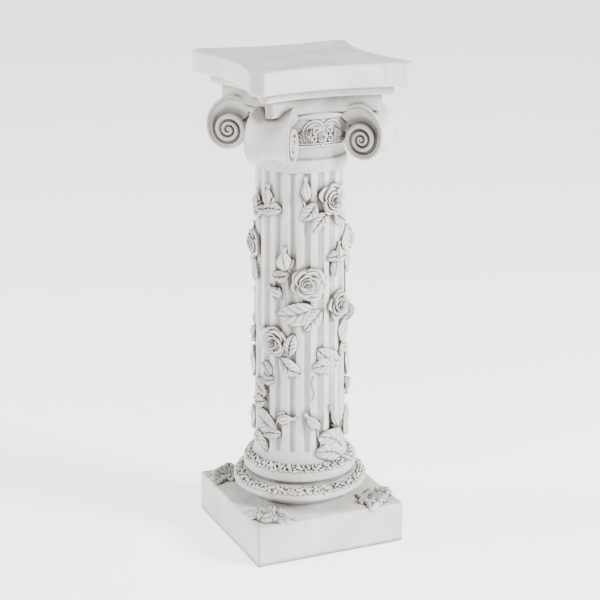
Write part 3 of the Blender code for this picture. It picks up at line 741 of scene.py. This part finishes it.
def turned_about(body, quarter):
    """The same body, carried round the axis by quarter turns."""
    points, faces, shade = body
    angle = math.pi / 2 * quarter
    turn = np.array([[math.cos(angle), -math.sin(angle), 0], [math.sin(angle), math.cos(angle), 0],
                     [0, 0, 1]])
    return points @ turn.T, faces, shade


for quarter, corner_name in enumerate(("right_back", "left_back", "left_front", "right_front")):
    parts = [grid_part(*scroll_band()), grid_part(*scroll_start())]
    parts += [grid_part(*scroll_face(hand)) for hand in (-1, 1)]
    parts += [eye_body(hand) for hand in (-1, 1)]
    make_piece("scroll_" + corner_name, [turned_about(part, quarter) for part in parts], sharp=48)

# %% [markdown]
# ## Roses
#
# A cast rose has hardly any undercut, so it can be a landscape: one height at every place.
# Each petal is a shell that rises from the heart to its lip and stops there. Where
# petals overlap, the highest is seen, which numpy finds with a maximum over all of them.
# Petals modelled one by one would be sharper underneath, where nobody can look.

# %% Rose heads
ROSE_LIFT = 0.0150
ROSE_SINK = 0.0055
# Rings and points around, for the near side, the far side and small blossoms
NEAR_ROSE, FAR_ROSE, SMALL_ROSE = (62, 140), (42, 96), (32, 76)
# Petals in a row, their reach, half their breadth in degrees, height of foot and of lip
PETAL_ROWS = (
    (5, 1.00, 50, 0.05, 0.55),
    (4, 0.77, 60, 0.22, 0.80),
    (3, 0.54, 80, 0.36, 0.93),
    (3, 0.35, 78, 0.50, 0.99),
    (1, 0.17, 165, 0.60, 1.00),
)


def rose_height(radius, turn, size, seed):
    """Highest of all petals at each place. A petal's lip is wavy, thick and rolled over."""
    luck = np.random.default_rng(seed)
    best = np.full(radius.shape, -1.0)
    for count, reach, half, foot_share, lip_share in PETAL_ROWS:
        start = luck.uniform(0, math.tau)
        for order in range(count):
            middle = start + math.tau * order / count + luck.uniform(-0.16, 0.16)
            own_reach = size * reach * luck.uniform(0.91, 1.04)
            offset = (turn - middle + math.pi) % math.tau - math.pi
            share = offset / math.radians(half)
            phase = luck.uniform(0, math.tau)
            ripple = 1 + 0.060 * np.sin(3.3 * share + phase) + 0.022 * np.sin(8.1 * share - phase)
            lip = own_reach * (1 - 0.30 * np.abs(share) ** 2.2) * ripple
            along = radius / np.maximum(lip, 1e-6)
            rise = foot_share + (lip_share - foot_share) * np.clip(along, 0, 1) ** 2.0
            rise = rise + 0.10 * share + 0.06 * np.sin(4 * share + phase) * along
            rise = rise - 0.16 * smooth_step(along, 0.86, 1.0)
            inside = (np.abs(share) < 1) & (along <= 1)
            best = np.where(inside & (rise > best), rise, best)
    return best


def steps_behind(height, reach_share):
    """How far each place lies under the highest of the rings just inside it."""
    reach = max(1, round(reach_share * len(height)))
    inner = [np.concatenate([np.repeat(height[:1], k, axis=0), height[:-k]]) for k in range(1, reach + 1)]
    return np.maximum.reduce(inner) - height


def moved(place, across, along):
    """The same map, moved across and along."""
    return lambda right, up, out: place(right + across, up + along, out)


def aimed(direction, forward, side):
    """Right and up of a pattern whose forward lies this many degrees from level."""
    turn = math.radians(direction)
    return (forward * math.cos(turn) - side * math.sin(turn),
            forward * math.sin(turn) + side * math.cos(turn))


def on_shaft(angle, share):
    """A map from a flat pattern (right, up, out) to the shaft's wall at this place."""
    level = SHAFT_FOOT + share * (SHAFT_TOP - SHAFT_FOOT)
    radius = float(shaft_radius(np.array(level)))

    def place(right, up, out):
        right, up, out = np.broadcast_arrays(right, up, out)
        return polar(radius + out, math.radians(angle) + right / radius, level + up)
    return place


def rose_body(place, size, lift, sink, seed, heart=(0.0, 0.0), grid=SMALL_ROSE):
    """Rings out to the wavy rim of the outer petals, then straight down into the wall.

    The rings drift towards the heart, which need not lie in the middle.
    """
    turn = full_turn(grid[1])[None, :]
    trial = np.linspace(0.5, 1.14, 60)[:, None] * size
    found = rose_height(*np.broadcast_arrays(trial, turn), size, seed)
    rim = np.max(np.where(found > 0, trial, 0.5 * size), axis=0, keepdims=True)
    share = np.linspace(0.02, 0.99, grid[0])[:, None]
    height = np.clip(rose_height(*np.broadcast_arrays(rim * share, turn), size, seed), 0.02, None)
    under = rim * np.array([[0.97], [0.90]])
    radius = np.concatenate([rim * share, under])
    out = np.concatenate([lift * height, [lift * 0.10 + 0 * rim[0], -sink + 0 * rim[0]]])
    # behind is the wash in the narrow step under each petal's lip. valley is painted shade, a broad
    # darkening down into the hollows between petals, and the rows under the rim are painted shade where the
    # rose meets the wall.
    behind = 0.85 * smooth_step(steps_behind(height, 0.055), 0.05, 0.22)
    valley = 0.50 * smooth_step(steps_behind(height, 0.125), 0.03, 0.30)
    wash_and_shade = np.concatenate([np.maximum(behind, valley), 0.6 + 0 * under])
    drift = np.concatenate([(1 - share) ** 1.2, 0 * under[:, :1]])
    points = place(radius * np.cos(turn) + heart[0] * drift, radius * np.sin(turn) + heart[1] * drift, out)
    return ring_body(points, wash_and_shade)


# Angle round the column in degrees, the front being -90, share of the shaft's height, size,
# and how far the heart lies off the middle to the right and up
ROSES = (
    (-70, 0.910, 0.0268, -0.0040, -0.0030),
    (-103, 0.634, 0.0285, -0.0055, 0.0008),
    (-60, 0.547, 0.0240, -0.0035, -0.0010),
    (-150, 0.429, 0.0265, 0.0070, 0.0000),
    (-194, 0.742, 0.0240, 0.0000, 0.0000),
    (-27, 0.497, 0.0180, 0.0000, 0.0020),
)
HALF_TURN = 180
TWIN_RADIUS, TWIN_LENGTH = 0.020, 0.030


def turns_for(size, least):
    """The larger growth is cast again half a turn round, on the side away from the viewer."""
    return (0, HALF_TURN) if size >= least else (0,)


rose_bodies = [rose_body(on_shaft(angle + turn, share), size, ROSE_LIFT, ROSE_SINK, 10 * order + turn, heart,
                         FAR_ROSE if turn else NEAR_ROSE)
               for order, (angle, share, size, *heart) in enumerate(ROSES)
               for turn in turns_for(size, TWIN_RADIUS)]
make_piece("rose_heads", rose_bodies, sharp=55)

# %% [markdown]
# ## Leaves
#
# A rose leaf is an oval that comes to a point, puffed up between its veins and cut along
# its midrib. Its two sheets share one outline: the upper carries the veins, and the lower
# lies inside the shaft and is a little smaller, which leaves a dark line under the edge.

# %% Leaves
LEAF_WIDTH_SHARE = 0.64
# Rows and columns, for the near side, the far side, the sprays and the smallest
NEAR_LEAF, FAR_LEAF, SPRAY_LEAF, SMALL_LEAF = (36, 23), (24, 15), (24, 15), (15, 9)


def leaf_body(place, direction, length, width, curl=0.0, lift=0.0052, sink=0.0045, grid=NEAR_LEAF):
    """Rows from foot to tip and columns from edge to edge. Oblique sines make the veins."""
    along = np.linspace(0, 1, grid[0])[:, None]
    aside = np.linspace(-1, 1, grid[1])[None, :]
    half = width / 2 * np.sin(math.pi * np.clip(along, 0.03, 0.995) ** 0.86) ** 0.56
    teeth = 1 + 0.10 * ((along * 6.5 - 0.5) % 1.0) * smooth_step(along, 0.15, 0.35)
    half = half * teeth * np.ones_like(aside)
    vein_phase = along * 4.6 - 1.3 * np.abs(aside)
    puff = np.abs(np.sin(math.pi * vein_phase)) ** 0.60
    rib = smooth_step(np.abs(aside), 0.02, 0.16)
    fade = smooth_step(1 - np.abs(aside), 0.0, 0.25)
    arch = 0.45 + 0.55 * np.sin(math.pi * np.clip(along * 0.92 + 0.06, 0, 1))
    body = 0.34 + 0.66 * (1 - (np.abs(aside) - 0.45) ** 2 / 0.36)
    out = 0.0020 + lift * arch * body * (0.46 + 0.54 * puff * fade) - 0.0018 * (1 - rib) * arch
    sway = math.cos(37 * direction + 900 * length)
    out = out + curl * along ** 3 + 0.0012 * np.sin(along * 7 + 2.4 * aside + 3 * sway)
    bend = 0.11 * length * np.sin(math.pi * along) * sway

    def spread(shrink, height):
        forward = length * along * np.ones_like(aside)
        return place(*aimed(direction, forward, half * aside * shrink + bend), height)
    wash_and_shade = np.clip(0.90 * (1 - puff) ** 1.2 * fade + 0.70 * (1 - rib), 0, 0.90)
    return sheet_body(spread(1.0, out), spread(0.80, np.full_like(out, -sink)), wash_and_shade)


# Angle and height share of the foot, direction in degrees from level, length
LEAVES = (
    (-96, 0.903, 232, 0.033),
    (-80, 0.864, 229, 0.034),
    (-67, 0.862, -33, 0.033),
    (-166, 0.868, 8, 0.034),
    (-162, 0.871, 196, 0.024),
    (-192, 0.856, 3, 0.028),
    (-128, 0.663, 188, 0.028),
    (-99, 0.548, 193, 0.053),
    (-89, 0.538, 231, 0.038),
    (-58, 0.708, 174, 0.026),
    (-62, 0.708, -12, 0.026),
    (-66, 0.700, 262, 0.024),
    (-138, 0.371, -36, 0.038),
    (-127, 0.388, 78, 0.032),
    (-165, 0.345, -50, 0.024),
    (-168, 0.292, 2, 0.026),
    (-180, 0.275, -42, 0.032),
    (-188, 0.190, 14, 0.034),
    (-61, 0.350, 148, 0.045),
    (-65, 0.332, 175, 0.042),
    (-52, 0.030, 148, 0.056),
    (-60, 0.010, 162, 0.046),
    (-145, 0.113, 140, 0.046),
    (-162, 0.090, 12, 0.030),
    (-184, 0.075, -33, 0.038),
    (-31, 0.800, 264, 0.048),
    (-24, 0.720, 262, 0.040),
    (-40, 0.490, 258, 0.044),
    (-38, 0.400, 215, 0.030),
    (-36, 0.060, 82, 0.042),
    (-190, 0.690, 282, 0.034),
    (-200, 0.372, 268, 0.050),
    (-198, 0.390, 95, 0.026),
    (-198, 0.150, 264, 0.036),
)


leaf_bodies = [leaf_body(on_shaft(angle + turn, share), direction, length, length * LEAF_WIDTH_SHARE,
                         grid=FAR_LEAF if turn else NEAR_LEAF)
               for angle, share, direction, length in LEAVES for turn in turns_for(length, TWIN_LENGTH)]
make_piece("rose_leaves", leaf_bodies, sharp=50)

# %% [markdown]
# ## Buds and stems
#
# A bud is a spindle whose wall is folded: a sine round it, twisted as it climbs, makes the
# furled petals. Two small leaves clasp its foot. Stems are thin tubes that weave along the
# wall. A curve with a bevel would serve too, but would not follow the round wall.

# %% Buds and stems
def bud_body(place, direction, length, radius):
    """Rings from foot to tip: a swelling with twisted folds, a waist, and a small open crown."""
    along = np.linspace(0.0, 1.0, 32)[:, None]
    spin = full_turn(36)[None, :]
    swell = np.sin(math.pi * np.clip(along / 0.84, 0.03, 0.995) ** 0.72) ** 0.85
    crown = 0.24 + 0.20 * smooth_step(along, 0.80, 1.0)
    profile = np.maximum(swell, crown * smooth_step(along, 0.45, 0.80))
    fold = np.abs(np.sin(3.0 * (spin + 0.9 * along)))
    size = radius * profile * (0.66 + 0.38 * fold ** 0.60)
    right, up = aimed(direction, length * along + 0 * spin, size * np.cos(spin))
    out = radius * 0.50 + size * np.sin(spin)
    return ring_body(place(right, up, out), 0.90 * (1 - smooth_step(fold, 0.0, 0.62)))


TUBE_SIDES, TUBE_WASH = 8, 0.20


def tube_body(points, radii):
    """A tube carried along a path. Its frame is the path's direction and the way outwards."""
    forward = np.gradient(points, axis=0)
    forward /= np.linalg.norm(forward, axis=1, keepdims=True)
    outward = points * (X_AXIS + Y_AXIS)
    outward /= np.maximum(np.linalg.norm(outward, axis=1, keepdims=True), 1e-9)
    side = np.cross(forward, outward)
    side /= np.maximum(np.linalg.norm(side, axis=1, keepdims=True), 1e-9)
    normal = np.cross(side, forward)
    spin = full_turn(TUBE_SIDES)[None, :, None]
    radii = np.asarray(radii)[:, None, None]
    round_it = np.cos(spin) * side[:, None] + np.sin(spin) * normal[:, None]
    return ring_body(points[:, None] + radii * round_it, TUBE_WASH)


# Angle and height share of the foot, direction in degrees from level, length, radius
BUDS = (
    (-107, 0.912, 92, 0.036, 0.0068),
    (-156, 0.890, 90, 0.031, 0.0080),
    (-178, 0.872, 86, 0.029, 0.0078),
    (-133, 0.680, 90, 0.035, 0.0105),
    (-137, 0.588, 147, 0.026, 0.0072),
    (-62, 0.703, 85, 0.027, 0.0066),
    (-141, 0.158, 6, 0.028, 0.0080),
    (-91, 0.125, 129, 0.034, 0.0080),
    (-62, 0.114, 112, 0.042, 0.0062),
    (-27, 0.262, 268, 0.029, 0.0064),
)
# Foot angle and share, head angle and share
STEMS = (
    (-98, 0.225, -96, 0.310),
    (-88, 0.045, -90, 0.130),
    (-57, 0.025, -61, 0.120),
    (-136, 0.520, -134, 0.680),
    (-150, 0.060, -140, 0.160),
    (-34, 0.420, -33, 0.720),
    (-170, 0.180, -160, 0.330),
    (-112, 0.880, -106, 0.920),
)


def stem_body(foot_angle, foot_share, head_angle, head_share):
    """Weaves a little by a sine on its way from foot to head, and thins towards the head."""
    step = np.linspace(0, 1, 24)
    angle = foot_angle + (head_angle - foot_angle) * step + 2.0 * np.sin(math.tau * step)
    share = foot_share + (head_share - foot_share) * step
    level = SHAFT_FOOT + share * (SHAFT_TOP - SHAFT_FOOT)
    path = polar(shaft_radius(level) + 0.0004, np.radians(angle), level)
    return tube_body(path, 0.0021 - 0.0008 * step)


bud_bodies = []
for angle, share, direction, length, radius in BUDS:
    for turn in turns_for(length, TWIN_LENGTH):
        place = on_shaft(angle + turn, share)
        bud_bodies.append(bud_body(place, direction, length, radius))
        bud_bodies += [leaf_body(place, direction + lean, 1.9 * radius, 0.9 * radius, 0.001, 0.006,
                                 grid=SMALL_LEAF) for lean in (-40, 40)]
bud_bodies += [stem_body(a + turn, s, b + turn, t) for a, s, b, t in STEMS for turn in (0, HALF_TURN)]
make_piece("buds_and_stems", bud_bodies, sharp=50)

# %% [markdown]
# ## Wreaths on the foot
#
# Two garlands of small leaves ring the foot. Each leaf is a little dome drawn to a point,
# laid slantwise on the sloping band. A table sets six of them, and a loop repeats it round
# the ring with a little chance in every place, lean and size.

# %% Leaf wreaths
def dome_body(centre, along, aside, outward, half_length, half_width, height):
    """A pointed dome: rings shrink by a cosine while the height grows by a sine.

    The wash lies on its lower rings.
    """
    spin = full_turn(12)[None, :, None]
    rise = np.array([-0.6, 0.0, 0.45, 0.8, 1.15, 1.45])[:, None, None]
    reach = np.cos(np.clip(rise, 0, None))
    point = 1 - 0.28 * np.abs(np.sin(spin)) ** 1.5
    flat = along * (half_length * np.cos(spin)) + aside * (half_width * np.sin(spin) * point)
    wash_and_shade = 0.70 * (1 - smooth_step(rise[..., 0], 0.1, 0.9))
    return ring_body(centre + flat * reach + outward * (height * np.sin(rise)), wash_and_shade)


# One step of a wreath: how far on, how far down the band, lean in degrees, size
WREATH_STEP = (
    (0.00, 0.20, 38, 0.85),
    (0.22, 0.50, -12, 1.00),
    (0.38, 0.86, 20, 0.90),
    (0.55, 0.30, -50, 0.75),
    (0.74, 0.66, 64, 0.80),
    (0.88, 0.90, -30, 0.70),
)


def wreath_bodies(inner_radius, inner_level, outer_radius, outer_level, count, size):
    """Leaves at each step of the ring, as its table says, tilted to the band's slope."""
    luck = np.random.default_rng(count)
    slope = np.array([outer_radius - inner_radius, outer_level - inner_level])
    slope /= np.linalg.norm(slope)
    bodies = []
    for order in range(count):
        for shift, share, lean, scale in WREATH_STEP:
            turn = math.tau * (order + shift + luck.uniform(-0.10, 0.10)) / count
            radius = inner_radius + (outer_radius - inner_radius) * share
            level = inner_level + (outer_level - inner_level) * share
            out = outwards_at(turn)
            around = np.array([-out[1], out[0], 0.0])
            down = out * slope[0] + Z_AXIS * slope[1]
            normal = out * -slope[1] + Z_AXIS * slope[0]
            tilt = math.radians(lean + luck.uniform(-55, 55))
            along = around * math.cos(tilt) + down * math.sin(tilt)
            aside = down * math.cos(tilt) - around * math.sin(tilt)
            centre = out * radius + Z_AXIS * level
            own = size * scale * luck.uniform(0.60, 1.15)
            bodies.append(dome_body(centre, along, aside, normal, own, own * luck.uniform(0.44, 0.68),
                                    own * luck.uniform(0.40, 0.68)))
    return bodies


make_piece("upper_wreath", wreath_bodies(
    SHAFT_LOW_RADIUS + FLARE_WIDTH, SHAFT_FOOT, UPPER_RADIUS, UPPER_TOP, 34, 0.0062), sharp=60)
make_piece("lower_wreath", wreath_bodies(
    SCOTIA_RADIUS + 0.004, SCOTIA_LEVEL, LOWER_RADIUS, LOWER_TOP, 40, 0.0066), sharp=60)

# %% [markdown]
# ## Leaf sprays on the plinth
#
# A flat spray of three blossoms, leaves and berries lies on each corner of the plinth. It
# uses the rose and the leaf of the shaft, laid on the level top.

# %% Corner sprays
def on_plinth(quarter, reach):
    """A map from a flat pattern to the plinth top, with "up" running out over a corner."""
    outward = outwards_at(math.radians(45 + 90 * quarter))
    across = np.array([outward[1], -outward[0], 0.0])

    def place(right, up, out):
        right, up, out = np.broadcast_arrays(right, up, out)
        flat = (reach + up)[..., None] * outward + right[..., None] * across
        rise = skirt_rise(np.linalg.norm(flat[..., :2], axis=-1))
        return flat + (PLINTH_TOP + rise + out)[..., None] * Z_AXIS
    return place


SPRAY_REACH = 0.1300
# Across, outwards, size and height of each blossom
SPRAY_ROSES = (
    (-0.0210, 0.000, 0.0130, 0.0065),
    (0.0020, -0.004, 0.0150, 0.0090),
    (0.0215, -0.003, 0.0115, 0.0065),
)
BERRIES = 12
# Foot across and outwards, direction in degrees, length, width
SPRAY_LEAVES = (
    (-0.022, 0.000, 176, 0.022, 0.018),
    (-0.018, 0.004, 128, 0.017, 0.017),
    (-0.006, 0.001, 64, 0.024, 0.022),
    (0.008, 0.003, 96, 0.019, 0.017),
    (0.016, 0.003, 58, 0.018, 0.017),
    (0.019, 0.001, 14, 0.025, 0.019),
    (0.016, -0.008, -28, 0.018, 0.015),
    (0.004, -0.012, -80, 0.019, 0.015),
    (-0.012, -0.008, -112, 0.018, 0.015),
)


spray_bodies = []
for quarter in range(4):
    middle = on_plinth(quarter, SPRAY_REACH)
    luck = np.random.default_rng(quarter)
    for order, (across, outwards, size, lift) in enumerate(SPRAY_ROSES):
        spray_bodies.append(rose_body(moved(middle, across, outwards), size, lift, 0.003,
                                      31 + quarter + 7 * order))
    for across, outwards, direction, length, width in SPRAY_LEAVES:
        spray_bodies.append(leaf_body(moved(middle, across, outwards), direction + luck.uniform(-10, 10),
                                      length * luck.uniform(0.88, 1.08), width, -0.001, 0.0058,
                                      0.003, SPRAY_LEAF))
    for berry in range(BERRIES):
        turn = math.tau * (berry + luck.uniform(-0.3, 0.3)) / BERRIES
        centre = middle(*np.array((0.030 * math.cos(turn), 0.0150 * math.sin(turn), 0.003)))
        size = luck.uniform(0.0026, 0.0044)
        spray_bodies.append(dome_body(centre, X_AXIS, Y_AXIS, Z_AXIS, size, size, size * 1.5))
make_piece("plinth_sprays", spray_bodies, sharp=50)

# %% [markdown]
# ## Relief between the scrolls
#
# Under the roll, each face of the echinus has a low relief: two arched stems that end in
# small coils, with a rosette between them.

# %% Echinus relief
RELIEF_LEVEL = 0.6560


def on_echinus(angle):
    """A map from a flat pattern to the echinus at this angle."""
    radius = (ECHINUS_LOW + ECHINUS_HIGH) / 2 + 0.001

    def place(right, up, out):
        right, up, out = np.broadcast_arrays(right, up, out)
        lean = 0.07 * up
        return polar(radius + out + lean, math.radians(angle) + right / radius, RELIEF_LEVEL + up)
    return place


def coil_path(place, hand, middle, first, last, big, small):
    """A spiral between two turns in degrees, while its radius shrinks evenly."""
    step = np.linspace(0, 1, 46)
    radius = big + (small - big) * step
    turn = np.radians(first + (last - first) * step)
    return place(hand * (middle[0] + radius * np.cos(turn)), middle[1] + radius * np.sin(turn), 0.0010)


def arch_path(place, hand, inset):
    """Part of an oval, from the cleft in the middle over the top and steeply down to the base."""
    turn = np.radians(np.linspace(134 - 900 * inset, -32, 50))
    right = 0.0135 + (0.0178 - inset) * np.cos(np.where(turn < 0, turn / 2, turn))
    return place(hand * right, -0.0040 + (0.0225 - inset) * np.sin(turn), 0.0012)


def ribbon(path, first, last):
    """A tube along the path whose thickness runs from first to last."""
    return tube_body(path, np.linspace(first, last, len(path)))


# Inset, and thickness at both ends, of each arch
ARCHES = ((0.0, 0.0021, 0.0015), (0.0042, 0.0012, 0.0010))
# Middle, first and last turn in degrees, first and last radius of each coil
COILS = (((0.0095, 0.0040), -80, 330, 0.0062, 0.0014), ((0.0125, -0.0095), 120, -250, 0.0054, 0.0012))
# How far down each line under the relief lies, and its thickness
BASE_LINES = ((0.0160, 0.0013), (0.0195, 0.0012))
relief_bodies = []
for quarter in range(4):
    angle = 90 * quarter + math.degrees(DRUM_TURN)
    place = on_echinus(angle)
    relief_bodies.append(rose_body(moved(place, 0, -0.0062), 0.0080, 0.0052, 0.002, 7))
    for hand in (-1, 1):
        relief_bodies += [ribbon(arch_path(place, hand, inset), *ends) for inset, *ends in ARCHES]
        relief_bodies += [ribbon(coil_path(place, hand, *coil), 0.0018, 0.0012) for coil in COILS]
        for order in range(7):
            foot = math.degrees(hand * (0.0185 + 0.0024 * order) / ECHINUS_HIGH)
            relief_bodies.append(leaf_body(moved(on_echinus(angle + foot), 0, -0.0150),
                                           90 - hand * (2 + 9 * order), 0.0225 - 0.0010 * order, 0.0056,
                                           0.0, 0.0030, 0.0015, SMALL_LEAF))
        for drop, thick in BASE_LINES:
            base = place(hand * np.linspace(0.000, 0.040, 30), -drop, 0.0006)
            relief_bodies.append(ribbon(base, thick, thick))
    knob = place(np.array(0.0), np.array(-0.0180), np.array(0.0010))
    outward = outwards_at(math.radians(angle))
    relief_bodies.append(dome_body(knob, np.cross(Z_AXIS, outward), Z_AXIS, outward, 0.0028, 0.0034, 0.0028))
make_piece("echinus_relief", relief_bodies, sharp=60)

# %% [markdown]
# ## Floor and light
#
# The pedestal stood on a white sweep under broad soft lamps. A pale floor that glows a little
# and a white world fill the shadows. A large lamp on the right and a weaker one on the left
# light the two sides that the camera sees, and leave the corner between them greyer.

# %% Studio
WORLD_STRENGTH = 0.75
FLOOR_GLOW = 1.7
FLOOR_RADIUS, AIM_LEVEL = 16.0, 0.45
# Name, place, width and power in watts of each lamp
LAMPS = (("key", (1.94, -2.15, 2.0), 1.1, 295), ("side", (-2.54, 0.92, 1.7), 1.2, 112))


def studio():
    """A floor disc, a pale world and two area lamps aimed at the middle of the column."""
    mesh = bpy.data.meshes.new("floor")
    shape = bmesh.new()
    bmesh.ops.create_circle(shape, cap_ends=True, segments=96, radius=FLOOR_RADIUS)
    shape.to_mesh(mesh)
    shape.free()
    paper = bpy.data.materials.new("white_paper")
    paper.use_nodes = True
    feed(paper.node_tree.nodes["Principled BSDF"], Base_Color=(0.95, 0.95, 0.95, 1), Roughness=0.9,
         Emission_Color=(1, 1, 1, 1), Emission_Strength=FLOOR_GLOW)
    mesh.materials.append(paper)
    add_object("floor", mesh)
    world = bpy.data.worlds.new("pale_world")
    bpy.context.scene.world = world
    world.use_nodes = True
    feed(world.node_tree.nodes["Background"], Color=(1, 1, 1, 1), Strength=WORLD_STRENGTH)
    for name, spot, size, power in LAMPS:
        data = bpy.data.lights.new(name, "AREA")
        data.shape, data.size, data.energy = "DISK", size, power
        aim = Vector((0, 0, AIM_LEVEL)) - Vector(spot)
        lamp = add_object(name, data)
        lamp.matrix_world = Matrix.Translation(spot) @ aim.to_track_quat("-Z", "Y").to_matrix().to_4x4()


studio()
